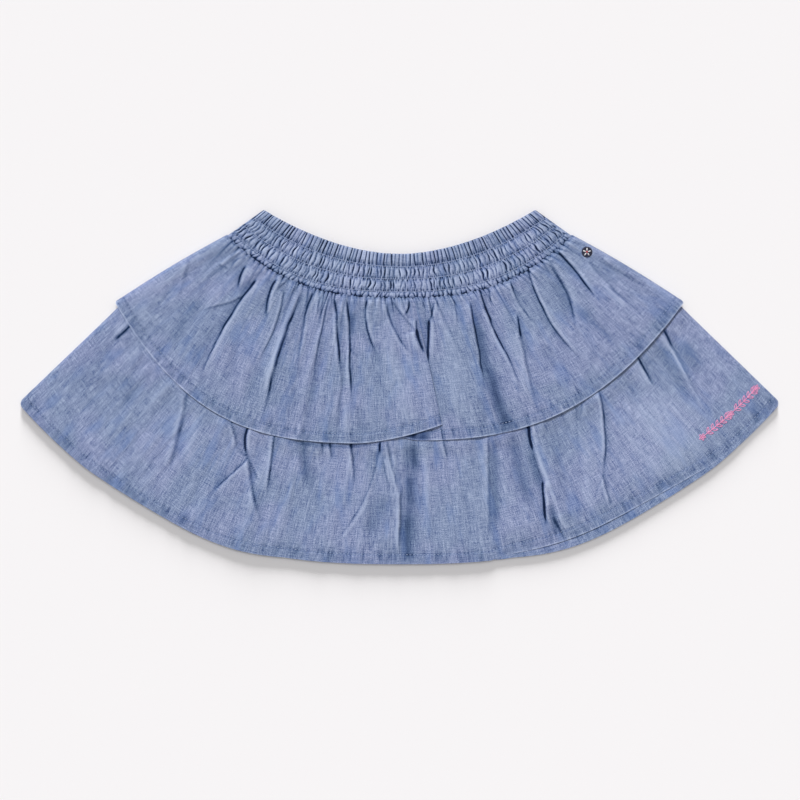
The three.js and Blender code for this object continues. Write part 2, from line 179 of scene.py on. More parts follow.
LOWER_CREASES = [Crease(*row) for row in [
    (-213.6, 50.8, -228.0, 36.4, 0.6, 0.0, 4, 0.5, -1, 3.0, 1.10),
    (-169.2, -2.4, -186.8, -72.8, 2.4, 0.0, 7, 1.0, -1, 2.8, 0.42),
    (-134.8, -24.4, -128.4, -52.8, 0.0, 0.0, 6, 1.1, -1, 1.4, 0.60),
    (-128.4, -51.2, -121.2, -57.2, 0.0, 0.0, 3, 0.5, -1, 1.1, 0.50),
    (-120.4, -28.4, -121.2, -57.6, -2.6, 0.0, 5, 1.5, 1, 1.9, 1.25),
    (-121.2, -56.0, -107.2, -112.0, -2.2, 0.9, 5, 1.0, -1, 2.1, 0.60),
    (-121.6, -56.4, -152.4, -85.6, 0.8, 0.0, 7, 1.1, 1, 1.3, 0.56),
    (-119.6, -58.4, -112.4, -75.6, 0.0, 0.0, 3, 0.7, 1, 1.0, 0.50),
    (-98.8, -37.2, -105.4, -88.0, -0.8, 0.0, 6, 1.0, -1, 1.4, 0.85),
    (-62.4, -43.0, -61.2, -56.0, 0.0, 0.0, 3, 0.6, -1, 1.2, 0.45),
    (-56.0, -43.0, -53.0, -58.6, 0.0, 0.0, 3, 0.7, -1, 1.3, 0.52),
    (-38.8, -42.0, -36.2, -79.0, 0.6, 0.0, 5, 1.1, -1, 1.7, 0.72),
    (-15.4, -39.6, -54.8, -127.2, 8.4, 0.0, 2, 0.35, 1, 1.1, 0.48),
    (-15.6, -39.0, -15.2, -55.0, 0.0, 0.0, 3, 0.8, -1, 2.6, 0.95),
    (-13.4, -58.0, -8.2, -82.0, 0.0, 0.0, 3, 0.6, 1, 1.0, 0.55),
    (-10.4, -40.4, 1.4, -88.8, -0.8, 0.0, 6, 1.4, -1, 1.4, 0.28),
    (1.4, -84.0, 0.4, -141.0, 0.0, 0.0, 6, 0.9, -1, 1.3, 0.46),
    (34.8, -40.4, 38.8, -58.0, 0.0, 0.0, 4, 0.8, -1, 1.2, 0.62),
    (71.2, -36.8, 72.0, -124.0, 0.4, 0.0, 6, 0.5, -1, 1.8, 0.30),
    (101.6, -29.0, 106.0, -52.0, 0.0, 0.0, 6, 0.8, 1, 2.9, 1.70),
    (106.0, -50.4, 115.6, -80.8, 0.0, 0.0, 7, 0.6, 1, 1.5, 0.34),
    (114.2, -75.6, 117.0, -112.0, -0.3, 0.0, 6, 1.1, 1, 2.0, 1.55),
    (122.8, -104.4, 132.4, -122.0, 0.0, 0.0, 5, 0.7, 1, 3.2, 0.34),
    (159.6, -2.4, 162.8, -72.0, 3.6, 0.0, 6, 1.3, -1, 1.5, 0.80),
    (162.8, -69.0, 170.2, -99.4, 0.0, 0.0, 4, 0.8, -1, 1.2, 0.60),
    (162.8, -69.6, 155.4, -90.0, 0.0, 0.0, 4, 0.5, 1, 1.2, 0.32),
    (146.0, -6.0, 144.0, -27.0, 0.0, 0.0, 5, 0.5, 1, 2.0, 0.28),
    (190.4, 24.4, 205.4, -0.4, -0.8, 0.0, 6, 1.1, -1, 1.8, 0.88),
    (210.6, 45.4, 239.6, -10.0, 1.0, 0.0, 4, 0.8, -1, 1.8, 0.34),
    (211.4, 46.4, 219.4, 30.4, 0.0, 0.0, 4, 0.3, -1, 3.6, 0.75),
]]

# A swell is a soft ridge, or a trough where its height is negative, along such a line. Tone is
# painted shade along a trough and a painted highlight along a ridge, by this share, partly the
# cloth's own bluer and paler patches.
Swell = namedtuple("Swell", "x0 y0 x1 y1 bow width height tone")
UPPER_SWELLS = [Swell(*row) for row in [
    (-62.8, 33.6, -76.4, -43.2, 0.0, 4.0, -0.8, -0.20),
    (-147.0, 50.0, -166.0, 18.0, -1.0, 5.0, -0.3, -0.10),
    (-158.8, 69.6, -182.0, 32.8, -1.5, 5.0, -0.3, -0.20),
    (-36.6, 60.0, -37.8, 40.0, 0.0, 2.8, -0.5, -0.36),
    (-19.0, 36.0, -17.4, 18.0, 0.0, 3.0, -0.3, -0.18),
    (60.4, 66.0, 86.0, -36.0, -3.0, 5.4, -0.7, -0.36),
    (75.0, 16.0, 86.0, -40.0, 0.0, 5.4, -0.1, -0.24),
    (64.4, -8.0, 68.4, -36.0, 0.0, 4.0, -0.3, -0.16),
    (82.0, -22.0, 96.0, -34.0, 0.0, 6.0, -0.2, -0.16),
    (122.8, 85.6, 134.0, 53.6, 2.0, 6.0, -0.4, -0.16),
    (142.8, 63.2, 174.8, 34.4, -1.0, 5.0, -0.5, -0.20),
    (112.4, 33.6, 125.2, 12.0, 0.0, 6.0, -0.3, -0.15),
    (-18.0, 24.0, -15.6, -12.0, 0.0, 4.0, -0.3, -0.09),
    (-33.2, -14.4, -30.0, -38.4, 0.0, 4.0, -0.4, -0.13),
    (-81.2, 21.6, -87.6, -26.4, 0.0, 5.0, -0.4, -0.09),
    (-115.6, 17.6, -121.2, -12.0, 0.0, 5.0, -0.4, -0.09),
    (-127.6, 37.6, -137.2, 1.6, 0.0, 4.0, -0.4, -0.10),
    (-92.0, 50.0, -106.0, 0.0, 0.0, 4.0, 0.5, 0.06),
    (-8.0, 40.0, 8.0, -34.0, 0.0, 12.0, 0.5, 0.05),
    (38.0, 56.0, 50.0, -30.0, 0.0, 9.0, 0.5, 0.05),
    (-46.0, 2.0, -42.0, -36.0, 0.0, 3.0, 0.4, 0.03),
    (86.0, 40.0, 104.0, -10.0, 0.0, 5.0, 0.5, 0.05),
    (-196.0, 62.0, -214.0, 44.0, 0.0, 8.0, 0.3, 0.06),
    (168.0, 104.0, 196.0, 84.0, 0.0, 5.0, -0.2, -0.10),
]]
LOWER_SWELLS = [Swell(*row) for row in [
    (-78.0, -42.0, -73.2, -80.0, 0.0, 4.6, -0.6, -0.28),
    (-67.6, -46.0, -64.0, -74.0, 0.8, 0.9, 0.2, 0.10),
    (-64.4, -70.0, -76.0, -102.0, 0.0, 0.9, 0.2, 0.12),
    # Painted shadow under the upper hem.
    (-92.0, -42.4, -12.0, -44.6, -3.4, 1.8, -0.1, -0.42),
    (-70.0, -60.0, -66.0, -100.0, 0.0, 6.0, -0.3, -0.08),
    (-24.0, -88.0, -55.6, -128.8, 3.0, 0.8, 0.1, 0.07),
    (-9.2, -86.4, -26.2, -122.0, 0.0, 8.0, -0.7, -0.22),
    (-5.6, -44.0, 0.0, -90.0, -1.0, 1.8, 0.5, 0.05),
    (8.6, -42.4, 9.0, -141.0, 0.8, 7.4, -1.0, -0.26),
    (10.6, -42.0, 13.2, -68.0, 0.0, 3.2, -0.3, -0.28),
    (8.8, -70.0, 8.4, -98.0, 0.0, 3.4, -0.3, -0.20),
    (5.8, -98.0, 6.2, -141.0, 0.0, 3.8, -0.4, -0.26),
    (-1.2, -92.0, -2.0, -138.0, 0.0, 1.2, 0.3, 0.05),
    (22.0, -46.0, 22.0, -126.0, 0.0, 4.0, 0.4, 0.02),
    (75.6, -35.6, 77.2, -122.0, 0.0, 4.4, -0.9, -0.26),
    (66.0, -42.0, 67.0, -110.0, 0.0, 4.0, 0.3, 0.03),
    (88.4, -34.0, 107.0, -100.0, -1.5, 5.6, -0.8, -0.34),
    (122.0, -30.0, 134.0, -104.0, 0.0, 5.0, -0.3, -0.14),
    (104.0, -48.4, 112.4, -82.8, 0.0, 3.4, -0.5, -0.30),
    (120.0, -92.4, 126.4, -118.0, 0.0, 3.2, -0.5, -0.34),
    (109.6, -50.4, 136.4, -122.0, -1.0, 1.7, 0.5, 0.06),
    (206.0, 34.0, 233.0, -12.0, 0.0, 5.0, -0.5, -0.18),
    (214.0, 34.0, 242.0, -18.0, 1.4, 1.0, 0.2, 0.08),
    (227.6, 35.6, 241.6, 7.6, 0.0, 6.0, -0.3, -0.18),
    (-194.8, 16.8, -227.2, -22.0, 0.0, 3.5, -0.5, -0.14),
    (-214.0, 8.0, -222.0, -12.0, 0.0, 6.0, -0.3, -0.10),
    (-206.0, 30.0, -236.0, 6.0, 0.0, 5.0, 0.3, 0.00),
    (-160.0, -16.0, -172.0, -64.0, 0.0, 6.0, 0.5, 0.06),
    (-139.0, -24.0, -133.0, -30.0, 0.0, 3.0, -0.2, -0.26),
    (-140.0, -60.0, -150.0, -110.0, 0.0, 6.0, -0.3, -0.08),
    (-112.0, -80.0, -116.0, -124.0, 0.0, 6.0, -0.3, -0.06),
    (150.0, -40.0, 152.0, -100.0, 0.0, 7.0, 0.4, 0.05),
    (192.0, -5.0, 232.0, -75.0, 0.0, 30.0, 0.3, 0.09),
    (-226.0, 36.0, -262.0, 0.0, 0.0, 10.0, -0.1, -0.12),
    (282.0, -12.0, 292.0, -30.0, 0.0, 5.0, -0.2, -0.12),
]]
# The hidden back has a few like them, with painted shade along their troughs
UPPER_BACK_SWELLS = [Swell(*row) for row in [
    (-92.0, 80.0, -120.0, 10.0, -4.0, 3, -0.7, -0.2),
    (-48.0, 70.0, -58.0, -20.0, 3.0, 4, -0.6, -0.2),
    (-8.0, 68.0, -2.0, 0.0, 2.0, 3, -0.7, -0.2),
    (34.0, 70.0, 44.0, -18.0, -2.0, 4, -0.6, -0.2),
    (78.0, 78.0, 104.0, 4.0, 3.0, 3, -0.7, -0.2),
    (110.0, 92.0, 152.0, 26.0, -4.0, 4, -0.6, -0.2),
    (-122.0, 100.0, -168.0, 44.0, 3.0, 4, -0.5, -0.2),
]]
LOWER_BACK_SWELLS = [Swell(*row) for row in [
    (-168.0, 0.0, -190.0, -62.0, 4.0, 4, -0.7, -0.2),
    (-104.0, -32.0, -112.0, -100.0, -3.0, 3, -0.8, -0.2),
    (-42.0, -46.0, -50.0, -118.0, 3.0, 4, -0.6, -0.2),
    (20.0, -46.0, 18.0, -112.0, 2.0, 3, -0.8, -0.2),
    (84.0, -38.0, 98.0, -106.0, -3.0, 4, -0.7, -0.2),
    (146.0, -10.0, 164.0, -84.0, 4.0, 3, -0.6, -0.2),
    (206.0, 36.0, 242.0, -24.0, -2.0, 4, -0.5, -0.2),
]]

# The shares down the band where it is stitched, how many gathers there are across each row
# between them, and how far apart the gathers are along a tier's seam
STITCH_ROWS = (0.0, 0.29, 0.58, 0.86, 1.0)
BAND_GATHERS = (82, 74, 72, 86)
LAST_BAND_ROW = len(BAND_GATHERS) - 1
TIER_GATHER_PITCH = 3.4


def smooth(low, high, value):
    """0 below low, 1 above high, and a smooth step between them."""
    share = np.clip((value - low) / (high - low), 0.0, 1.0)
    return share * share * (3.0 - 2.0 * share)


def mix(a, b, share):
    return a + (b - a) * share


def bell(value, width):
    """1 where the value is 0, falling away on both sides over about the width."""
    return np.exp(-(value / width) ** 2)


def above_layer(rise):
    """Heights with a soft lower limit at 0, so that no trough sinks into the layer below."""
    softness = 0.35
    return softness * np.logaddexp(0.0, rise / softness)


def edge_y(edge, x):
    return edge.middle + edge.rise * np.abs(x / edge.half) ** edge.power


def edge_slope(edge, x):
    share = np.clip(np.abs(x) / edge.half, 0.0, 1.0)
    return edge.rise * edge.power / edge.half * share ** (edge.power - 1.0)


def value_noise(a, b, seed):
    """Smooth noise from -1 to 1 over two coordinates, with a step of about one unit."""
    table = np.random.default_rng(seed).uniform(-1.0, 1.0, (64, 64))
    ia, ib = np.floor(a).astype(int), np.floor(b).astype(int)
    fa, fb = smooth(0.0, 1.0, a - ia), smooth(0.0, 1.0, b - ib)
    corner = lambda i, j: table[(ia + i) % 64, (ib + j) % 64]
    return mix(mix(corner(0, 0), corner(1, 0), fa), mix(corner(0, 1), corner(1, 1), fa), fb)


def line_places(line, x, y, sway=0.0):
    """Share along a bowed and swayed line, and distance from it, positive on the right of a
    line that runs down the page."""
    across, down = line.x1 - line.x0, line.y1 - line.y0
    length = math.hypot(across, down)
    share = ((x - line.x0) * across + (y - line.y0) * down) / length ** 2
    beside = ((y - line.y0) * across - (x - line.x0) * down) / length
    within = np.clip(share, -0.1, 1.1)
    beside = beside - line.bow * 4.0 * within * (1.0 - within)
    waver = value_noise(within * length / 9.0 + line.x0, 0.0 * share + line.y0, 5)
    return share, beside - sway * np.sin(2.0 * np.pi * within) - 0.45 * waver


def crease_relief(crease, x, y):
    """Height and tone of one crease: a lip that falls away slowly, a hollow on its low side,
    painted shade on the step between them and in the hollow, and a painted highlight on the lip."""
    share, beside = line_places(crease, x, y, crease.sway)
    length = math.hypot(crease.x1 - crease.x0, crease.y1 - crease.y0)
    high = beside * crease.side
    over, under = np.maximum(high - crease.wide, 0.0), np.maximum(-high, 0.0)
    below = high < 0.0
    reach = smooth(-0.04, 0.08, share) * (1.0 - smooth(0.5, 1.06, share))
    lip = smooth(0.0, crease.wide, high) * np.exp(-(over / (1.4 * crease.breadth)) ** 1.3)
    hollow = np.exp(-under / (0.7 * crease.breadth)) * below
    height = crease.height * reach * (0.75 * lip - 0.3 * hollow)

    fade = smooth(-2.0, 3.0, share * length) * (1.0 - smooth(0.68, 1.03, share))
    uneven = 0.9 + 0.4 * value_noise(share * length / 11.0, 0.0 * share + crease.x0, 6)
    half = (0.36 + 0.26 * crease.wide) * mix(1.05, 0.8, np.clip(share, 0.0, 1.0))
    line = bell(high - 0.2 * crease.wide, half)
    shade = np.exp(-under / (0.4 * crease.breadth)) * below
    # Painted highlight on the lip, just past the step.
    lip_highlight = bell(high - 1.2 * crease.wide - 0.8, 0.9)
    return height, crease.dark * fade * uneven * (0.14 * lip_highlight - 1.25 * line - 0.3 * shade)


def swell_relief(swell, x, y):
    share, beside = line_places(swell, x, y)
    across = bell(beside, swell.width)
    reach = smooth(-0.1, 0.25, share) * (1.0 - smooth(0.7, 1.1, share))
    # The tone is painted shade along a trough and a painted highlight along a ridge.
    return 1.3 * swell.height * across * reach, 1.3 * swell.tone * across * reach


def blurred(field, columns):
    """A field's running mean over so many columns each way, and half as many rows."""
    for axis, radius in enumerate(((columns + 1) // 2, columns)):
        pad = [(radius + 1, radius) if k == axis else (0, 0) for k in (0, 1)]
        total = np.cumsum(np.pad(field, pad, mode="edge"), axis=axis)
        count = field.shape[axis]
        upper = np.take(total, np.arange(2 * radius + 1, 2 * radius + 1 + count), axis=axis)
        field = (upper - np.take(total, np.arange(count), axis=axis)) / (2 * radius + 1)
    return field


def relief_shading_of(height):
    """Painted highlights on ridges and painted shade in hollows, from each point's height over its
    blurred surroundings.
    """
    fine, broad = height - blurred(height, 3), height - blurred(height, 10)
    return 0.30 * np.clip(fine, -0.8, 0.4) + 0.12 * np.clip(broad, -1.0, 0.6)


def relief_of(creases, swells, x, y):
    """Height of all folds at each point, and the tone that they give the cloth: painted shade and
    highlights.
    """
    height, tone = np.zeros_like(x), np.zeros_like(x)
    for rows, shape in ((creases, crease_relief), (swells, swell_relief)):
        for row in rows:
            rise, shade = shape(row, x, y)
            height += rise
            tone += shade
    return height, tone


def round_corners(x, y, corners):
    """Draws the points near each corner in, so that it becomes an arc."""
    for corner, along_side, along_hem, radius in corners:
        turn = along_side[0] * along_hem[1] - along_side[1] * along_hem[0]
        dx, dy = x - corner[0], y - corner[1]
        a = radius - (dx * along_hem[1] - dy * along_hem[0]) / turn
        b = radius - (along_side[0] * dy - along_side[1] * dx) / turn
        near = (a > 0.0) & (b > 0.0)
        pull = np.where(near, np.maximum(a, b) / np.maximum(np.hypot(a, b), 1e-9), 1.0)
        side, hem = radius - a * pull, radius - b * pull
        x = np.where(near, corner[0] + along_side[0] * side + along_hem[0] * hem, x)
        y = np.where(near, corner[1] + along_side[1] * side + along_hem[1] * hem, y)
    return x, y


def unit(from_point, to_point):
    step = np.subtract(to_point, from_point)
    return step / np.hypot(*step)


def foot_corners(top_half, top_y, foot_half, hem_y, radius, into_hem=4.0):
    """The two lower corners of a panel, with the directions of its side edge and its hem."""
    corners = []
    for hand in (-1.0, 1.0):
        corner = (hand * foot_half, float(hem_y(hand * foot_half)))
        in_hem = hand * (foot_half - into_hem)
        to_side = unit(corner, (hand * top_half, top_y))
        to_hem = unit(corner, (in_hem, float(hem_y(in_hem))))
        corners.append((corner, to_side, to_hem, radius))
    return corners


def upper_hem_y(x):
    """The upper hem, whose two halves meet under the main fold."""
    share = smooth(-20.0, 20.0, x)
    return mix(edge_y(UPPER_HEM_LEFT, x), edge_y(UPPER_HEM_RIGHT, x), share)


def below_upper_hem(x, y):
    """Distance below the upper hem, square to it."""
    slope = mix(edge_slope(UPPER_HEM_LEFT, x), edge_slope(UPPER_HEM_RIGHT, x), smooth(-20, 20, x))
    return (upper_hem_y(x) - y) / np.hypot(1.0, slope)


def lower_hem_y(x):
    share = np.clip((np.abs(x) - WAVE_FROM) / (WAVE_TO - WAVE_FROM), 0.0, 1.0)
    return edge_y(LOWER_HEM, x) - WAVE_RISE * np.sin(2.0 * np.pi * share)


def front_hem_y(x):
    share = np.clip((x - SHORT_HEM_FROM) / (SHORT_HEM_TO - SHORT_HEM_FROM), 0.0, 1.0)
    return lower_hem_y(x) + SHORT_HEM_RISE * np.sin(np.pi * share) ** 0.7


def back_hem_y(x):
    blend, rise, side_run = 6.0, 1.4, 20.0
    at_side = smooth(LOWER_HEM.half - side_run, LOWER_HEM.half, np.abs(x))
    shown = smooth(SHORT_HEM_FROM - blend, SHORT_HEM_FROM + blend, x)
    shown = shown * (1.0 - smooth(SHORT_HEM_TO - blend, SHORT_HEM_TO + blend, x))
    return lower_hem_y(x) + rise * (1.0 - at_side) * (1.0 - shown)


class Panel:
    """A sheet of cloth as a grid: places x, y and z, cloth coordinates along its width and its
    grain, and the tone of each point, mostly painted shade and highlights. Rows run from the waist
    down, columns left to right."""

    def __init__(self, x, y):
        self.x, self.y = x, y
        self.z = np.zeros_like(x)
        self.tone = np.zeros_like(x)
        width = np.hypot(np.diff(x[-1]), np.diff(y[-1]))
        self.width = np.broadcast_to(np.concatenate([[0.0], np.cumsum(width)]), x.shape)
        down = np.hypot(np.diff(x, axis=0), np.diff(y, axis=0))
        self.grain = np.vstack([np.zeros(x.shape[1]), np.cumsum(down, axis=0)])

    def points(self):
        return np.stack([self.x, self.y, self.z], -1)

    def across(self, field, value):
        """The point of each column where a field that falls down the column passes a value."""
        row = np.argmax(field <= value, axis=0)
        row = np.clip(row, 1, field.shape[0] - 1)
        column = np.arange(field.shape[1])
        above, below = field[row - 1, column], field[row, column]
        share = np.clip((above - value) / np.maximum(above - below, 1e-9), 0.0, 1.0)[:, None]
        points = self.points()
        return mix(points[row - 1, column], points[row, column], share)


def row_places(rows, hem_rows=0, hem_share=0.08):
    """Shares down a panel, closer together over its hem."""
    above = np.linspace(0.0, 1.0 - hem_share, rows - hem_rows + 1)
    over_hem = np.linspace(1.0 - hem_share, 1.0, hem_rows + 1)
    places = np.concatenate([above[:-1], over_hem]) if hem_rows else np.linspace(0.0, 1.0, rows + 1)
    return places[:, None]


def straight_panel(top_half, top_y, foot_half, foot_y, columns, v, corners=()):
    """A panel that runs straight from one edge to another, with rows at the shares v."""
    u = np.linspace(-1.0, 1.0, columns + 1)[None, :]
    x = mix(u * top_half, u * foot_half, v)
    y = mix(top_y(u * top_half), foot_y(u * foot_half), v)
    return Panel(*round_corners(x, y, corners))


def mesh_of(name, vertices, faces, finish):
    """A new object in the scene, from points in millimetres."""
    mesh = bpy.data.meshes.new(name)
    mesh.from_pydata(np.asarray(vertices) * MM, [], faces)
    mesh.materials.append(finish)
    mesh.polygons.foreach_set("use_smooth", [True] * len(mesh.polygons))
    mesh.update()
    piece = bpy.data.objects.new(name, mesh)
    bpy.context.scene.collection.objects.link(piece)
    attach(piece, "root")
    return piece


def grid_faces(rows, columns, face_up):
    """Quads of a grid of points, with their fronts up or down."""
    corner = np.arange((rows - 1) * columns).reshape(rows - 1, columns)[:, :-1].ravel()
    loop = [corner + columns, corner + columns + 1, corner + 1, corner]
    return np.stack(loop if face_up else loop[::-1], -1).tolist()


def store(mesh, name, kind, values):
    attribute = mesh.attributes.new(name, kind, "POINT")
    key = "vector" if kind == "FLOAT_VECTOR" else "value"
    attribute.data.foreach_set(key, np.ascontiguousarray(values, dtype=np.float32).ravel())


def sharpen(mesh, rows, columns, folded_column=None):
    """Marks the sheet's border, and one folded column, as edges that aren't shaded smooth."""
    border = np.zeros((rows, columns), bool)
    border[[0, -1]] = True
    border[:, [0, -1]] = True
    if folded_column is not None:
        border[:, folded_column] = True
    ends = np.empty(2 * len(mesh.edges), dtype=np.int32)
    mesh.edges.foreach_get("vertices", ends)
    ends = ends.reshape(-1, 2)
    sharp = border.ravel()[ends].all(axis=1)
    attribute = mesh.attributes.new("sharp_edge", "BOOLEAN", "EDGE")
    attribute.data.foreach_set("value", sharp)


def sheet_piece(node, panel, finish, face_up=True, cloth=CLOTH,
                folded_column=None):
    """A panel as a thin closed shell that replaces its plain solid."""
    rows, columns = panel.x.shape
    faces = grid_faces(rows, columns, face_up)
    piece = mesh_of(node + "_cloth", panel.points().reshape(-1, 3), faces, finish)
    places = np.stack([panel.width, panel.grain, np.zeros_like(panel.x)], -1)
    store(piece.data, "cloth_mm", "FLOAT_VECTOR", places.reshape(-1, 3))
    store(piece.data, "tone", "FLOAT", panel.tone.ravel())
    sharpen(piece.data, rows, columns, folded_column)
    shell = piece.modifiers.new("cloth", "SOLIDIFY")
    shell.thickness = cloth * MM
    shell.offset = -1.0
    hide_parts(node)
    return piece


class Value:
    """A shader socket that takes part in sums: each operator adds its Math node."""

    def __init__(self, finish, socket):
        self.finish, self.socket = finish, socket

    def math(self, operation, first, second):
        return self.finish.node("ShaderNodeMath", {"operation": operation}, {0: first, 1: second})

    def __add__(self, other):
        return self.math("ADD", self, other)

    __radd__ = __add__

    def __sub__(self, other):
        return self.math("SUBTRACT", self, other)

    def __rsub__(self, other):
        return self.math("SUBTRACT", other, self)

    def __mul__(self, other):
        return self.math("MULTIPLY", self, other)

    __rmul__ = __mul__


class Finish:
    """A material with a Principled surface, and what its nodes are made with."""

    def __init__(self, name, **surface):
        self.material = bpy.data.materials.new(name)
        self.material.use_nodes = True
        self.tree = self.material.node_tree
        self.surface = self.tree.nodes["Principled BSDF"]
        for socket, value in surface.items():
            self.surface.inputs[socket.replace("_", " ")].default_value = value

    def node(self, kind, settings, inputs, output=0):
        """Adds a node: its settings first, then the values or links of its sockets."""
        node = self.tree.nodes.new(kind)
        for key, value in settings.items():
            setattr(node, key, value)
        for key, value in inputs.items():
            if isinstance(value, Value):
                self.tree.links.new(value.socket, node.inputs[key])
            else:
                node.inputs[key].default_value = value
        return Value(self, node.outputs[output])

    def feed(self, socket, value):
        self.tree.links.new(value.socket, self.surface.inputs[socket])

    def attribute(self, name, output):
        settings = {"attribute_type": "GEOMETRY", "attribute_name": name}
        return self.node("ShaderNodeAttribute", settings, {}, output)

    def blend(self, share, first, second, how="MIX"):
        settings = {"data_type": "RGBA", "blend_type": how, "clamp_factor": True}
        inputs = {0: share, 6: first, 7: second}
        return self.node("ShaderNodeMix", settings, inputs, output=2)

    def noise(self, cloth, across, along, detail=2.0):
        """Noise drawn out along the grain: its size in millimetres across and along it."""
        scale = (1.0 / across, 1.0 / along, 1.0)
        place = self.node("ShaderNodeVectorMath", {"operation": "MULTIPLY"}, {0: cloth, 1: scale})
        inputs = {"Vector": place, "Scale": 1.0, "Detail": detail}
        return self.node("ShaderNodeTexNoise", {}, inputs)

    def step(self, value, low, high):
        """Takes a value from low to high onto 0 to 1, with soft ends."""
        settings = {"interpolation_type": "SMOOTHSTEP"}
        inputs = {"Value": value, "From Min": low, "From Max": high}
        return self.node("ShaderNodeMapRange", settings, inputs)

    def bump(self, height, depth, strength):
        inputs = {"Height": height, "Strength": strength, "Distance": depth * MM}
        self.feed("Normal", self.node("ShaderNodeBump", {}, inputs))


def colour(red, green, blue):
    """A colour given as it looks on a screen, 0 to 255."""
    linear = [((c / 255.0 + 0.055) / 1.055) ** 2.4 for c in (red, green, blue)]
    return (*linear, 1.0)


# The share of light thread in the weave, its threads and tints, and the colours of painted shade
# and dye, and of painted highlights and wear, that the tone mixes in
LIGHT_SHARE = 0.40
DARK_THREAD = colour(56, 80, 130)
LIGHT_THREAD = colour(186, 200, 226)
BLUE_PATCH = colour(88, 120, 178)
LAVENDER_TINT = (1.31, 1.12, 1.20, 1.0)
SHADE_AND_DYE_TINT = colour(38, 118, 162)
DEEP_CREASE = colour(142, 120, 136)
HIGHLIGHT_AND_WEAR = colour(190, 203, 230)


def chambray(name, shade=1.0):
    """Plain weave of blue warp and white weft: heathered threads, slubs, bluer and paler patches,
    and from the tone attribute painted shade in the creases and hollows and painted highlights
    on the ridges."""
    finish = Finish(name, Roughness=0.95, Specular_IOR_Level=0.15, Sheen_Weight=0.12,
                    Sheen_Roughness=0.5)
    cloth = finish.attribute("cloth_mm", 1)
    tone = finish.attribute("tone", 2)
    warp = finish.noise(cloth, 0.65, 9.0)
    weft = finish.noise(cloth, 10.0, 0.65)
    heather = finish.noise(cloth, 0.75, 0.8, detail=1.0)
    fibres = finish.noise(cloth, 0.3, 0.4, detail=1.0)
    streaks = finish.noise(cloth, 2.6, 36.0)
    patches = finish.step(finish.noise(cloth, 12.0, 38.0), 0.5, 0.72)
    fading = finish.step(finish.noise(cloth, 55.0, 50.0), 0.4, 0.62)

    threads = 0.95 * warp + 0.85 * weft + 1.1 * heather + 0.75 * fibres + 0.32 * streaks
    mean_of_threads = 0.5 * (0.95 + 0.85 + 1.1 + 0.75 + 0.32)
    light = threads - (mean_of_threads - LIGHT_SHARE)
    ground = finish.blend(light, DARK_THREAD, LIGHT_THREAD)
    ground = finish.blend(0.38 * fading, ground, LAVENDER_TINT, "MULTIPLY")
    ground = finish.blend(0.36 * patches, ground, BLUE_PATCH)
    # Below 1, the shade darkens the cloth towards the dark thread, as painted shade.
    if shade < 1.0:
        ground = finish.blend(1.0 - shade, ground, DARK_THREAD)
    # Positive tone adds painted highlights and wear on the hem folds; negative tone adds painted
    # shade and the hems' and band seam's own darkness, deepest in the deep creases and grooves.
    ground = finish.blend(2.0 * tone, ground, HIGHLIGHT_AND_WEAR)
    ground = finish.blend(-1.0 * tone, ground, SHADE_AND_DYE_TINT, "MULTIPLY")
    ground = finish.blend(finish.step(-1.0 * tone, 0.45, 1.2), ground, DEEP_CREASE, "MULTIPLY")
    finish.feed("Base Color", ground)
    finish.bump(0.5 * warp + 0.5 * weft + 0.4 * heather + 0.3 * fibres, 0.16, 0.45)
    return finish.material


def thread_finish(name, light, dark):
    """Twisted sewing or embroidery thread."""
    turn = 0.9
    finish = Finish(name, Roughness=0.6, Sheen_Weight=0.2)
    place = finish.node("ShaderNodeTexCoord", {}, {}, output=3)
    inputs = {"Vector": place, "Scale": 1.0 / (turn * MM), "Detail": 1.0}
    twist = finish.node("ShaderNodeTexNoise", {}, inputs)
    finish.feed("Base Color", finish.blend(finish.step(twist, 0.35, 0.65), dark, light))
    finish.bump(twist, 0.1, 0.4)
    return finish.material


def plain_floor(name):
    floor = (0.885, 0.868, 0.875, 1.0)
    return Finish(name, Base_Color=floor, Roughness=1.0, Specular_IOR_Level=0.0).material


def gathers_at_seam(width, below, seed, pitch=TIER_GATHER_PITCH):
    """Small uneven gathers below a seam: height, and tone that is painted shade in the grooves
    beside them, from the place along the seam and the distance below it."""
    random = np.random.default_rng(seed)
    height, tone = np.zeros_like(below), np.zeros_like(below)
    place = float(width.min())
    while place < width.max():
        place += pitch * random.uniform(0.6, 1.5)
        length = random.choice([4.0, 7.0, 11.0, 20.0, 36.0], p=[0.3, 0.3, 0.22, 0.12, 0.06])
        reach = np.exp(-(np.maximum(below, 0.0) / length) ** 1.5)
        centre = place + random.uniform(-0.12, 0.12) * below
        half = pitch * random.uniform(0.22, 0.4) * (1.0 + below / (1.3 * length))
        height += random.uniform(0.5, 1.2) * reach * bell(width - centre, half)
        # Painted shade in the groove beside each gather.
        groove = bell(width - centre - 1.5 * half, 0.4 + 0.015 * below)
        tone -= random.uniform(0.3, 1.15) * reach * groove
    return height, tone


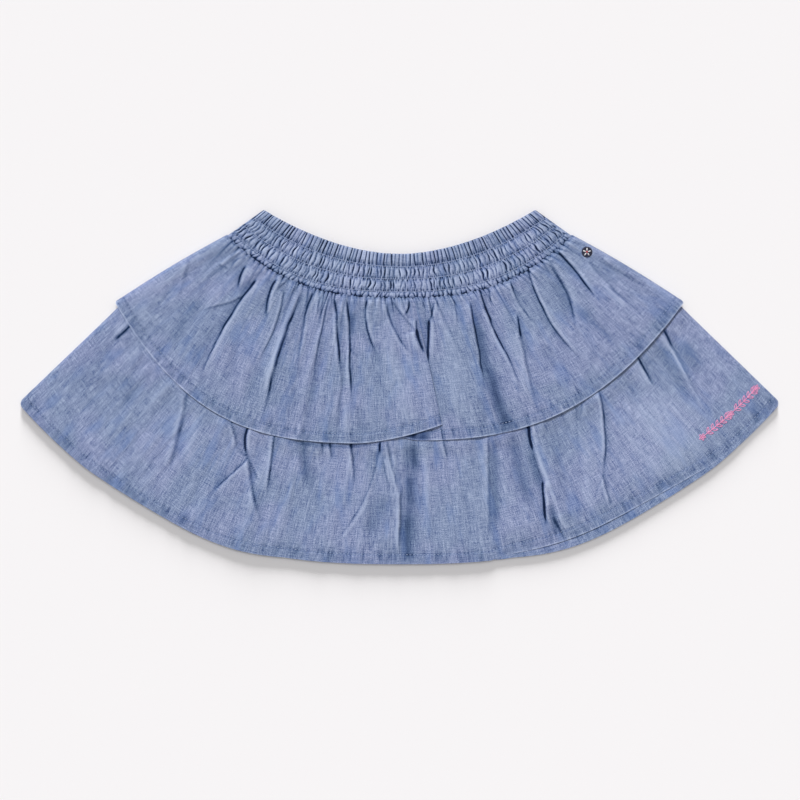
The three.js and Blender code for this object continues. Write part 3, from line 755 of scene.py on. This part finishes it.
def hem_shape(width, above_hem, seed, edge_light=0.1):
    """The turned hem: a thicker strip with a stitched groove and small puckers, with painted shade
    in the groove and the puckers' hollows.
    """
    strip = 1.0 - smooth(HEM_WIDTH - 0.6, HEM_WIDTH + 0.6, above_hem)
    groove = bell(above_hem - HEM_WIDTH, 0.7)
    pucker = value_noise(width / 1.5, above_hem / 9.0, seed)
    pucker = 0.7 * pucker + 0.6 * value_noise(width / 4.4, above_hem / 14.0, seed + 1)
    near = bell(above_hem - 0.75 * HEM_WIDTH, 0.75 * HEM_WIDTH)
    edge = bell(above_hem, 1.0)
    height = HEM_RISE * strip - 0.25 * groove + 0.26 * pucker * near
    ticks = np.clip(-pucker, 0.0, 0.6) * near
    # Painted shade in the groove and the puckers' hollows, a slightly darker strip, and a lighter
    # folded edge that is part wear and part painted highlight.
    tone = -0.3 * groove - 0.6 * ticks - 0.12 * strip + edge_light * edge
    return height, tone


def undulation(panel, seed):
    """The cloth's own soft unevenness, drawn out along the grain, with fine crease lines."""
    broad = value_noise(panel.width / 32.0, panel.grain / 75.0, seed)
    narrow = value_noise(panel.width / 10.0, panel.grain / 42.0, seed + 1)
    fine = value_noise(panel.width / 4.0, panel.grain / 20.0, seed + 2)
    lines = (1.0 - np.abs(value_noise(panel.width / 12.0, panel.grain / 48.0, seed + 3))) ** 9
    return 0.7 * broad + 0.5 * narrow + 0.14 * fine - 0.3 * lines


def side_shape(distance, low, high):
    """Height of a rounded side: low at the seam, high once SIDE_ROUND inside it."""
    share = np.clip(distance / SIDE_ROUND, 0.0, 1.0)
    return mix(low, high, np.sqrt(1.0 - (1.0 - share) ** 2))


def from_side(panel, squareness=0.75):
    """Rough distance of each point from the nearer side edge of its row."""
    reach = np.hypot(np.diff(panel.x, axis=1), np.diff(panel.y, axis=1))
    left = np.hstack([np.zeros((panel.x.shape[0], 1)), np.cumsum(reach, axis=1)])
    return squareness * np.minimum(left, left[:, -1:] - left)


def seam_y(x):
    """The tiers' top edges, sewn a little way up under the band."""
    return edge_y(BAND_SEAM, x) + 0.8


TIER_TOP = BAND_SEAM.half + TIER_OVERHANG


def upper_corners():
    foot = UPPER_HEM_LEFT.half
    return foot_corners(TIER_TOP, seam_y(TIER_TOP), foot, upper_hem_y, UPPER_CORNER_RADIUS)


def fold_opening(v):
    """How far the main fold has opened at each share down the tier, 0 to 1."""
    y = mix(seam_y(FOLD_EDGE_TOP), edge_y(UPPER_HEM_RIGHT, FOLD_EDGE_FOOT), v)
    return np.clip((FOLD_OPENS_Y - y) / (FOLD_OPENS_Y - y[-1]), 0.0, 1.0)


def upper_front_hem_y(x, over, turn, low, back):
    """The front's hem line over the fold, back under it and out to the right again."""
    y = np.empty_like(x)
    lifted = np.clip((x[over] - FOLD_MOUTH_FROM) / (FOLD_EDGE_FOOT - FOLD_MOUTH_FROM), 0.0, 1.0)
    y[over] = edge_y(UPPER_HEM_LEFT, x[over]) + FOLD_MOUTH_RISE * lifted ** 1.7
    past_turn = np.maximum(x[low] - (FOLD_EDGE_FOOT - FOLD_DEPTH), 0.0)
    y[low] = edge_y(UPPER_HEM_RIGHT, x[low]) + FOLD_TUCK * bell(past_turn, 9.0)
    y[turn] = mix(y[over.stop - 1], y[low.start], back)
    return y


def upper_front_panel():
    """The upper tier's front, how high its main fold lifts it, how far it is hidden in the fold,
    its shares down and the column of the fold's edge. Its columns run to that edge, back under
    it, forward again below that, and on to the right side."""
    left = np.linspace(0.0, 1.0, 300)
    back = np.linspace(0.0, 1.0, FOLD_COLUMNS)[1:]
    right = np.linspace(0.0, 1.0, 270)[1:]
    n_left, n_back = len(left), len(back)
    over, turn = slice(0, n_left), slice(n_left, n_left + n_back)
    low, under_edge = slice(turn.stop, None), slice(turn.stop, turn.stop + n_back)

    v = row_places(76, hem_rows=12)
    edge_x = mix(FOLD_EDGE_TOP, FOLD_EDGE_FOOT, v)
    half = mix(TIER_TOP, UPPER_HEM_LEFT.half, v) + SIDE_BOW * np.sin(np.pi * v ** 0.9)
    opened = fold_opening(v)
    under = np.maximum(FOLD_DEPTH * opened ** 1.4, 0.08)
    x = np.hstack([
        mix(-half, edge_x, left[None, :]),
        edge_x - under * back[None, :],
        edge_x - under * (1.0 - back[None, :]),
        mix(edge_x, half, right[None, :]),
    ])
    foot_y = upper_front_hem_y(x[-1], over, turn, low, back)
    y = mix(seam_y(x[0])[None, :], foot_y[None, :], v)
    x, y = round_corners(x, y, upper_corners())
    panel = Panel(x, y)

    shade_fold(panel, opened, over, low, edge_x)

    stack = FOLD_RISE * smooth(0.0, 0.5, opened)
    inside = edge_x - panel.x[:, over]
    level = np.zeros_like(x)
    level[:, over] = stack * (1.0 - 0.5 * bell(inside, 2.6)) * bell(inside, 34.0)
    level[:, turn] = stack * mix(0.4, 0.25, smooth(0.0, 0.2, back))[None, :]
    level[:, under_edge] = stack * mix(0.25, 0.0, smooth(0.0, 0.22, back))[None, :]
    hidden = np.zeros(x.shape[1])
    hidden[turn] = 1.0
    hidden[under_edge] = 1.0 - smooth(0.6, 1.0, back)
    return panel, level, hidden[None, :], v, n_left - 1


def shade_fold(panel, opened, over, low, edge_x):
    """Paints shade in the fold's mouth, on the cloth close to its edge and along the edge itself.
    """
    shadow = smooth(-0.3, 0.3, opened)
    beyond, inside = panel.x[:, low] - edge_x, edge_x - panel.x[:, over]
    in_mouth = 1.0 - smooth(-13.0, -7.0, beyond)
    near = 0.18 * bell(beyond, 5.0) + 0.62 * bell(beyond, 1.7)
    panel.tone[:, low] -= shadow * (0.5 * in_mouth + near * (beyond > 0.0))
    panel.tone[:, over] -= 0.16 * shadow * bell(inside, 1.2)


def above_foot(panel):
    """Distance of each point from the foot of its own column, square to the hem."""
    down = panel.grain[-1:] - panel.grain
    foot = np.stack([np.gradient(panel.x[-1]), np.gradient(panel.y[-1])])
    foot /= np.maximum(np.hypot(*foot), 1e-9)
    side_x, side_y = panel.x[-9] - panel.x[-1], panel.y[-9] - panel.y[-1]
    length = np.maximum(np.hypot(side_x, side_y), 1e-9)
    square = np.abs(side_x * foot[1] - side_y * foot[0]) / length
    return down * np.clip(square, 0.5, 1.0)[None, :]


def make_upper_front(finish):
    panel, level, hidden, v, folded_column = upper_front_panel()
    height, tone = relief_of(UPPER_CREASES, UPPER_SWELLS, panel.x, panel.y)
    seen = 1.0 - hidden
    below = panel.grain - 1.1
    gather, gather_tone = gathers_at_seam(panel.x[:1] + 0.0 * panel.x, below, 7)
    hem, hem_tone = hem_shape(panel.width, above_foot(panel), 11, edge_light=0.44)
    soft = undulation(panel, 21) * smooth(0.0, 0.2, v)
    seam_dip = -1.8 * bell(np.maximum(below + 0.6, 0.0), 1.8)
    rise = above_layer(0.1 + seen * (0.8 + height + gather + soft))
    lying = UPPER_FRONT_TOP - 0.7 - 1.2 * smooth(0.7, 1.0, v) + level
    top = lying + rise + hem + seam_dip
    side = from_side(panel)
    panel.z = np.where(side < SIDE_ROUND, side_shape(side, 1.0, top), top)
    panel.tone += seen * (tone + relief_shading_of(rise + hem)) + gather_tone + hem_tone
    # Painted shade on the tier just below the band's seam.
    panel.tone -= 0.3 * bell(np.maximum(below, 0.0), 1.3)
    return panel, sheet_piece(
        "upper_tier_front", panel, finish,
        folded_column=folded_column,
    )


def lower_panel(hem_y, columns, hidden_rows, rows):
    """A piece of the lower tier, from the foot of the yoke to just outside the upper hem and on
    to its own hem."""
    step_half = UPPER_HEM_LEFT.half - STEP_INSET
    step_y = lambda x: upper_hem_y(x) - 1.2
    top_y = lambda x: edge_y(YOKE_SEAM, x) - 0.3
    step_end = float(step_y(step_half))
    corners = foot_corners(step_half, step_end, LOWER_HEM.half, hem_y, LOWER_CORNER_RADIUS)
    above = row_places(hidden_rows)
    below = row_places(rows, hem_rows=rows // 5, hem_share=0.09)
    hidden = straight_panel(YOKE_SEAM.half, top_y, step_half, step_y, columns, above)
    shown = straight_panel(step_half, step_y, LOWER_HEM.half, hem_y, columns, below, corners)
    return Panel(np.vstack([hidden.x[:-1], shown.x]), np.vstack([hidden.y[:-1], shown.y]))


def make_lower_front(finish):
    panel = lower_panel(front_hem_y, 620, 4, 72)
    below = below_upper_hem(panel.x, panel.y)
    height, tone = relief_of(LOWER_CREASES, LOWER_SWELLS, panel.x, panel.y)
    shown = smooth(-1.5, 7.0, below)
    above_hem = above_foot(panel)
    over_back = smooth(SHORT_HEM_FROM - 12.0, SHORT_HEM_FROM + 20.0, panel.x)
    hem, hem_tone = hem_shape(panel.width, above_hem, 31, edge_light=0.1 + 0.25 * over_back)
    gather, gather_tone = gathers_at_seam(panel.x, np.maximum(below, 0.0) + 5.0, 17, pitch=9.0)
    calm = mix(0.35, 1.0, smooth(0.0, 24.0, above_hem))
    rise = above_layer(1.0 + calm * (height + 0.5 * gather + undulation(panel, 51)))
    step = smooth(1.0, 14.0, below)
    sunk = mix(0.7, 1.5, over_back) * (1.0 - smooth(0.0, 22.0, above_hem))
    top = mix(YOKE_FRONT_TOP - 0.6, LOWER_FRONT_TOP, step) - sunk
    top = top + shown * (rise - 0.8) + hem
    side = from_side(panel)
    panel.z = np.where(side < SIDE_ROUND, side_shape(side, mix(2.4, 0.9, step), top), top)
    # The folds' and gathers' painted shade and highlights, below the upper hem, and the hem's tone.
    panel.tone = smooth(-3.0, 0.0, below) * (tone + 0.4 * gather_tone) + hem_tone
    panel.tone += shown * relief_shading_of(rise + hem)
    return panel, sheet_piece(
        "lower_tier_front", panel, finish,
    )


def make_lower_back(finish):
    panel = lower_panel(back_hem_y, 300, 4, 50)
    below = below_upper_hem(panel.x, panel.y)
    height, tone = relief_of([], LOWER_BACK_SWELLS, panel.x, panel.y)
    hem, hem_tone = hem_shape(panel.width, above_foot(panel), 61)
    lying = mix(LOWER_BACK_START, 0.0, smooth(1.0, 9.0, below))
    shown = smooth(0.0, 12.0, below)
    panel.z = lying + shown * np.clip(0.25 - height - 0.2 * hem, 0.0, 0.9)
    panel.z = panel.z + HEM_CURL * (1.0 - smooth(0.0, 8.0, above_foot(panel)))
    panel.tone = tone + hem_tone
    return panel, sheet_piece(
        "lower_tier_back", panel, finish,
        face_up=False,
    )


def make_upper_back(finish):
    panel = straight_panel(
        TIER_TOP, seam_y, UPPER_HEM_LEFT.half, upper_hem_y, 260,
        row_places(60, hem_rows=10), upper_corners(),
    )
    height, tone = relief_of([], UPPER_BACK_SWELLS, panel.x, panel.y)
    gather, gather_tone = gathers_at_seam(panel.x[:1] + 0.0 * panel.x, panel.grain, 77)
    hem, hem_tone = hem_shape(panel.width, above_foot(panel), 71)
    lift = 0.3 - height - 0.3 * gather - 0.2 * hem
    panel.z = np.clip(lift, 0.0, 0.85) + 0.5 * (1.0 - smooth(0.0, 4.0, from_side(panel)))
    panel.tone = tone + gather_tone + hem_tone
    return panel, sheet_piece(
        "upper_tier_back", panel, finish,
        face_up=False,
    )


def make_yoke(node, finish, top):
    foot_y = lambda x: edge_y(YOKE_SEAM, x)
    inset = 3.8
    panel = straight_panel(
        BAND_SEAM.half - inset, seam_y, YOKE_SEAM.half, foot_y, 90, row_places(24)
    )
    panel.z = top + 0.12 * undulation(panel, 81) - 0.15
    return sheet_piece(node, panel, finish)


def groove_shape(k, w, bow, lean, sway):
    """How far a groove of row k strays from upright down the row, the shares of its width and
    depth there, and how strong the painted highlight on its rim is. Grooves are kinked where both
    their ends are stitched."""
    full = np.sin(math.pi * w)
    tilt, swing = lean * (w - 0.5), sway * np.sin(2.0 * math.pi * w)
    if k == 0:
        return 0.15 * bow * full + tilt, 1.0, 1.0, 0.7
    if k == LAST_BAND_ROW:
        return 3.0 * tilt + swing, 1.2, 0.5 + 0.5 * w, 0.6
    kink = 1.0 - np.abs(2.0 * w - 1.0) ** 1.4
    return bow * kink + swing + tilt, 0.7 + 0.4 * full, 0.35 + 0.65 * full, 1.0


def puff_row(k, w, u, random):
    """One row of the shirring, from stitched line to stitched line: the grooves between its
    puffs, which are sunk and get painted shade, and the painted highlights on the rims beside them,
    each 0 to 1. Small ticks, drawn as grooves, show where the cloth is drawn up along the stitches."""
    gathers = BAND_GATHERS[k]
    grooves, rims = np.zeros((2, len(w), u.shape[1]))

    def draw(centre, stray, half, deep, rim=0.0):
        near = np.flatnonzero(np.abs(u[0] * gathers - centre) < 1.6)
        if len(near):
            beside = (u[:, near] * gathers - centre - stray) / half
            grooves[:, near] = np.maximum(grooves[:, near], deep * bell(beside, 1.0))
            lit = rim * deep * bell(beside - 2.1, 1.2)
            rims[:, near] = np.maximum(rims[:, near], lit)

    for i in range(-1, gathers + 1):
        centre = i + random.uniform(-0.28, 0.28)
        turn = float(value_noise(np.array(i / 5.0), np.array(3.0 * k), 14))
        bow = 0.36 * np.clip(2.2 * turn + 0.4, -1.0, 1.0) * random.uniform(0.5, 1.3)
        lean, sway = random.uniform(-0.25, 0.25), random.uniform(-0.14, 0.14)
        half, deep = random.uniform(0.09, 0.18), random.uniform(0.4, 1.0)
        stray, wide, depth, rim = groove_shape(k, w, bow, lean, sway)
        draw(centre, stray, half * wide, deep * depth, rim)
    from_line = {0: 1.0 - w, LAST_BAND_ROW: w}.get(k, np.minimum(w, 1.0 - w))
    for i in range(2 * gathers):
        centre = 0.5 * i + random.uniform(-0.2, 0.2)
        reach = random.uniform(0.1, 0.24)
        tick = random.uniform(0.35, 0.95) * bell(from_line - 0.05, reach)
        draw(centre, 0.4 * random.uniform(-1.0, 1.0) * from_line, 0.13, tick)
    return grooves, rims


def band_relief(columns, rows, seed):
    """Height of the shirring, 0 to 1, and its tone: painted shade in the grooves and painted
    highlights on the rims. The gathers are closer together towards the band's ends."""
    random = np.random.default_rng(seed)
    from_middle = np.linspace(-1.0, 1.0, columns + 1)[None, :]
    u = 0.5 + 0.5 * from_middle * (0.88 + 0.12 * np.abs(from_middle) ** 1.5)
    v = np.linspace(0.0, 1.0, rows + 1)
    height, tone = np.zeros((2, rows + 1, columns + 1))
    for k, (top, foot) in enumerate(zip(STITCH_ROWS, STITCH_ROWS[1:])):
        row = np.flatnonzero((v >= top) & ((v < foot) | (foot == 1.0)))
        w = ((v[row] - top) / (foot - top))[:, None]
        grooves, rims = puff_row(k, w, u, random)
        bulge = 0.2 + (0.6 if foot < 1.0 else 0.3) * np.sin(math.pi * w) ** 0.6
        if k == 0:
            bulge = 0.8 - 0.6 * smooth(0.6, 1.0, w)
        uneven = 0.82 + 0.25 * value_noise(u * 50.0, 0.0 * w + 3.0 * k, seed + k)
        height[row] = bulge * uneven * (1.0 - grooves)
        # Painted highlights on the rims and painted shade in the grooves.
        tone[row] = 0.3 * rims * (1.0 - grooves) - 1.75 * grooves
    return height, tone, v[:, None]


def band_panel(columns, rows):
    waist = lambda x: edge_y(WAIST, x)
    seam = lambda x: edge_y(BAND_SEAM, x)
    return straight_panel(WAIST.half, waist, BAND_SEAM.half, seam, columns, row_places(rows))


def make_band(node, finish, front, seed):
    columns, rows = (700, 64) if front else (440, 40)
    panel = band_panel(columns, rows)
    height, tone, v = band_relief(columns, rows, seed)
    top_edge = 1.0 - smooth(0.0, 0.04, v)
    panel.y -= 0.45 * (1.0 - height) * top_edge
    side = from_side(panel, 1.0)
    if front:
        top = BAND_TOP + BAND_RISE * height - 0.5 * top_edge
        panel.z = np.where(side < SIDE_ROUND, side_shape(side, 2.4, top), top)
    else:
        under = 1.3 * (1.0 - height) + 0.3 * top_edge
        panel.z = np.where(side < SIDE_ROUND, side_shape(side, 2.2, under), under)
    ragged = 0.9 + 0.9 * value_noise(panel.x / 4.0, 0.0 * panel.y, seed + 7)
    seam = bell(1.0 - v, 0.04) * ragged
    patchy = 0.12 * value_noise(panel.x / 7.0, panel.y / 9.0, seed + 8)
    # Painted shade and highlights of the shirring, a dark line along the seam and random patches.
    panel.tone = 0.1 + tone - 0.85 * seam + patchy
    panel.width = panel.width * 1.7
    return panel, sheet_piece(
        node, panel, finish,
        face_up=front, cloth=BAND_CLOTH,
    )


def tube(points, radius, sides=6, taper=0.0):
    """Points and faces of a closed tube along a path, thinner towards its ends if tapered."""
    points = np.asarray(points, float)
    along = np.gradient(points, axis=0)
    along /= np.maximum(np.linalg.norm(along, axis=1, keepdims=True), 1e-9)
    side = np.cross(along, (0.0, 0.0, 1.0))
    side /= np.maximum(np.linalg.norm(side, axis=1, keepdims=True), 1e-9)
    up = np.cross(side, along)
    share = np.linspace(-1.0, 1.0, len(points))
    size = radius * (1.0 - taper * share ** 4)
    angle = np.arange(sides) * 2.0 * np.pi / sides
    ring = side[:, None] * np.cos(angle)[None, :, None] + up[:, None] * np.sin(angle)[None, :, None]
    vertices = (points[:, None] + ring * size[:, None, None]).reshape(-1, 3)
    faces = []
    for k in range(len(points) - 1):
        for j in range(sides):
            a, b = k * sides + j, k * sides + (j + 1) % sides
            faces.append((a, b, b + sides, a + sides))
    faces.append(tuple(reversed(range(sides))))
    faces.append(tuple(range(len(vertices) - sides, len(vertices))))
    return vertices, faces


def join_tubes(parts):
    vertices, faces, start = [], [], 0
    for points, loops in parts:
        vertices.append(points)
        faces.extend(tuple(i + start for i in loop) for loop in loops)
        start += len(points)
    return np.vstack(vertices), faces


def resampled(path, places):
    """Points of a path at the given distances along it."""
    reach = np.concatenate([[0.0], np.cumsum(np.linalg.norm(np.diff(path, axis=0), axis=1))])
    return np.stack([np.interp(places, reach, path[:, k]) for k in range(3)], -1)


def path_length(path):
    return float(np.linalg.norm(np.diff(path, axis=0), axis=1).sum())


def stitches(path, length, gap, radius, lift):
    """A run of stitches along a path, each a short tapered bead of thread."""
    parts = []
    for start in np.arange(gap, path_length(path) - length, length + gap):
        bead = resampled(path, start + np.linspace(0.0, length, 4))
        bead[1:-1, 2] += lift
        parts.append(tube(bead, radius, taper=0.55))
    return parts


def thread_piece(name, parts, finish):
    vertices, faces = join_tubes(parts)
    mesh_of(name, vertices, faces, finish)


def hem_stitches(panel, facing):
    path = panel.across(above_foot(panel), HEM_WIDTH)[3:-3]
    path[:, 2] += facing * 0.02
    return stitches(path, length=1.9, gap=0.9, radius=0.26, lift=facing * 0.12)


def shirring_threads(panel, facing):
    """A thread along each shirred row, pulled almost straight over the tops of the gathers."""
    parts = []
    rows = panel.x.shape[0] - 1
    for share in STITCH_ROWS[1:-1]:
        row = int(round(share * rows))
        path = panel.points()[row][6:-6]
        path = resampled(path, np.arange(0.0, path_length(path), 0.9))
        path[:, 2] += facing * 0.1
        parts.append(tube(path, 0.2))
    return parts


def surface_of(piece):
    """The outer face of a cloth piece, for setting threads down on."""
    mesh = piece.data
    return BVHTree.FromPolygons(
        [v.co.copy() for v in mesh.vertices],
        [tuple(p.vertices) for p in mesh.polygons],
    )


def laid_on(surface, points, lift):
    """Flat points set down on a surface and lifted by a thread's height."""
    laid = []
    for x, y in points:
        hit = surface.ray_cast(Vector((x * MM, y * MM, 0.05)), Vector((0.0, 0.0, -1.0)))[0]
        laid.append((x, y, hit.z / MM + lift))
    return np.array(laid)


# The twig embroidered near the right end of the lower hem: an almost straight stem with leaves
# in pairs, and a small flower at each end and in the middle
TWIG_START = (242.0, -40.0)
TWIG_END = (285.0, -1.0)
TWIG_ARCH = 1.5
LEAF_PLACES = (0.09, 0.17, 0.25, 0.33, 0.41, 0.59, 0.67, 0.75, 0.83, 0.91)
LEAF_LENGTH = 4.8
FLOWER_PLACES = (0.0, 0.5, 1.0)
FLOWER_SIZE = 2.7


def leaf_outline(root, tip, fatness=0.85):
    """The two sides of a pointed leaf."""
    lengthways = unit(root, tip)
    across = np.array([-lengthways[1], lengthways[0]])
    shares = np.linspace(0.0, 1.0, 9)
    return [
        [mix(root, tip, t) + side * fatness * math.sin(math.pi * t) * across for t in shares]
        for side in (-1.0, 1.0)
    ]


def petal_outline(centre, angle):
    loop = []
    for t in np.linspace(0.0, 1.0, 9):
        reach, turn = FLOWER_SIZE * math.sin(math.pi * t), angle + 0.5 * math.cos(math.pi * t)
        loop.append(centre + reach * np.array([math.cos(turn), math.sin(turn)]))
    return loop


def twig_paths():
    start, end = np.array(TWIG_START), np.array(TWIG_END)
    along = unit(start, end)
    beside = np.array([-along[1], along[0]])
    place = lambda share: mix(start, end, share) - beside * TWIG_ARCH * math.sin(math.pi * share)
    paths = [[place(share) for share in np.linspace(0.0, 1.0, 60)]]
    for share in LEAF_PLACES:
        for hand in (-1.0, 1.0):
            tip = place(share) + LEAF_LENGTH * (0.74 * along + 0.67 * hand * beside)
            paths += leaf_outline(place(share), tip)
    for share in FLOWER_PLACES:
        paths += [petal_outline(place(share), 2.0 * math.pi * k / 5.0) for k in range(5)]
    return paths


def make_twig(surface, finish):
    parts = [tube(laid_on(surface, path, 0.14), 0.3) for path in twig_paths()]
    thread_piece("hem_twig_embroidery", parts, finish)


# The small round motif near the right end of the band
BADGE_AT = (149.5, 107.6)
BADGE_RADIUS = 4.3


def make_badge(surface, finishes):
    """A disc of dark satin stitches with a light flower on it."""
    dark, light, red = finishes
    x0, y0 = BADGE_AT
    rows = []
    for off in np.arange(-BADGE_RADIUS + 0.2, BADGE_RADIUS, 0.42):
        reach = math.sqrt(BADGE_RADIUS ** 2 - off ** 2)
        line = [(x0 + t * reach, y0 + off) for t in np.linspace(-1.0, 1.0, 6)]
        rows.append(tube(laid_on(surface, line, 0.15), 0.26, taper=0.3))
    thread_piece("badge_ground_embroidery", rows, dark)
    petals = []
    for k in range(5):
        angle = 2.0 * math.pi * k / 5.0 + 0.3
        line = [(x0 + r * math.cos(angle), y0 + r * math.sin(angle)) for r in (0.8, 1.6, 2.5, 3.3)]
        petals.append(tube(laid_on(surface, line, 0.42), 0.5, taper=0.4))
    thread_piece("badge_petal_embroidery", petals, light)
    heart = [(x0 - 0.6, y0), (x0, y0), (x0 + 0.6, y0)]
    bead = tube(laid_on(surface, heart, 0.7), 0.9, sides=8, taper=0.5)
    thread_piece("badge_heart_embroidery", [bead], red)


def make_floor():
    reach = 4000.0 * MM
    corners = [(-reach, -reach), (reach, -reach), (reach, reach), (-reach, reach)]
    mesh = bpy.data.meshes.new("floor")
    mesh.from_pydata([(x, y, 0.0) for x, y in corners], [], [(0, 1, 2, 3)])
    mesh.materials.append(plain_floor("pale_floor"))
    floor = bpy.data.objects.new("floor", mesh)
    bpy.context.scene.collection.objects.link(floor)
    floor.location.z = -0.15 * MM
    floor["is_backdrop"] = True
    return floor


def sun(name, elevation, azimuth, strength, spread, lit):
    """A soft distant light from a height and a compass side (0 is +Y, 90 is +X), all in degrees,
    for the lit pieces alone."""
    data = bpy.data.lights.new(name, "SUN")
    data.energy = strength
    data.angle = math.radians(spread)
    light = bpy.data.objects.new(name, data)
    bpy.context.scene.collection.objects.link(light)
    a, e = math.radians(azimuth), math.radians(elevation)
    towards = Vector((math.sin(a) * math.cos(e), math.cos(a) * math.cos(e), math.sin(e)))
    light.rotation_mode = "QUATERNION"
    light.rotation_quaternion = towards.to_track_quat("Z", "Y")
    group = bpy.data.collections.new(name + "_lit")
    for piece in lit:
        group.objects.link(piece)
    light.light_linking.receiver_collection = group


def light_scene(floor, garment):
    bpy.context.scene.view_settings.view_transform = "Standard"
    world = bpy.data.worlds.new("studio")
    world.use_nodes = True
    background = world.node_tree.nodes["Background"]
    background.inputs["Color"].default_value = (1.0, 0.995, 1.0, 1.0)
    background.inputs["Strength"].default_value = 0.45
    bpy.context.scene.world = world
    sun("key", 40.0, -28.0, 2.8, 16.0, garment)
    sun("floor_key", 8.6, 0.0, 9.55, 15.0, [floor])
    sun("floor_fill", 62.0, 0.0, 0.53, 30.0, [floor])


def place_camera():
    """Straight down at the middle of the picture, a pixel to 0.8 mm."""
    frame_width, middle_x, middle_y = 640.0, 0.4, -10.4
    lens, sensor = 110.0, 36.0
    data = bpy.data.cameras.new("camera")
    data.lens = lens
    data.sensor_width = sensor
    data.clip_end = 50.0
    camera = bpy.data.objects.new("camera", data)
    bpy.context.scene.collection.objects.link(camera)
    camera.location = Vector((middle_x, middle_y, frame_width / sensor * lens)) * MM
    bpy.context.scene.camera = camera


def make_skirt():
    band_cloth = chambray("band_chambray")
    tier_cloth = chambray("tier_chambray")
    # The yoke's cloth is a darker copy, painted shade for where it lies under the upper tier.
    yoke_cloth = chambray("yoke_chambray", shade=0.85)
    sewing = thread_finish("sewing_thread", colour(168, 182, 212), colour(128, 144, 184))
    pink = thread_finish("pink_thread", colour(246, 172, 208), colour(230, 130, 180))
    navy = thread_finish("navy_thread", colour(34, 40, 74), colour(18, 20, 44))
    white = thread_finish("white_thread", colour(240, 238, 240), colour(214, 212, 220))
    red = thread_finish("red_thread", colour(214, 40, 58), colour(170, 20, 40))

    upper_back, _ = make_upper_back(tier_cloth)
    lower_back, _ = make_lower_back(tier_cloth)
    make_yoke("yoke_back", yoke_cloth, YOKE_BACK_TOP)
    make_yoke("yoke_front", yoke_cloth, YOKE_FRONT_TOP)
    lower_front, lower_piece = make_lower_front(tier_cloth)
    upper_front, upper_piece = make_upper_front(tier_cloth)
    back_band, _ = make_band("waistband_back", band_cloth, front=False, seed=105)
    front_band, _ = make_band("waistband_front", band_cloth, front=True, seed=101)

    front, back = (1.0, upper_front, lower_front), (-1.0, upper_back, lower_back)
    for side, (facing, upper, lower) in (("front", front), ("back", back)):
        parts = hem_stitches(upper, facing) + hem_stitches(lower, facing)
        thread_piece("hem_stitches_" + side, parts, sewing)
    for side, facing, band in (("front", 1.0, front_band), ("back", -1.0, back_band)):
        thread_piece("shirring_" + side, shirring_threads(band, facing), sewing)
    make_twig(surface_of(lower_piece), pink)
    make_badge(surface_of(upper_piece), (navy, white, red))


place_camera()
make_skirt()
garment = list(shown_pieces())
light_scene(make_floor(), garment)

visual_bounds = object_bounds()
sizes = {"cad": cad_bounds, "visual": visual_bounds}
{k: [list(corner) for corner in v] for k, v in sizes.items()}
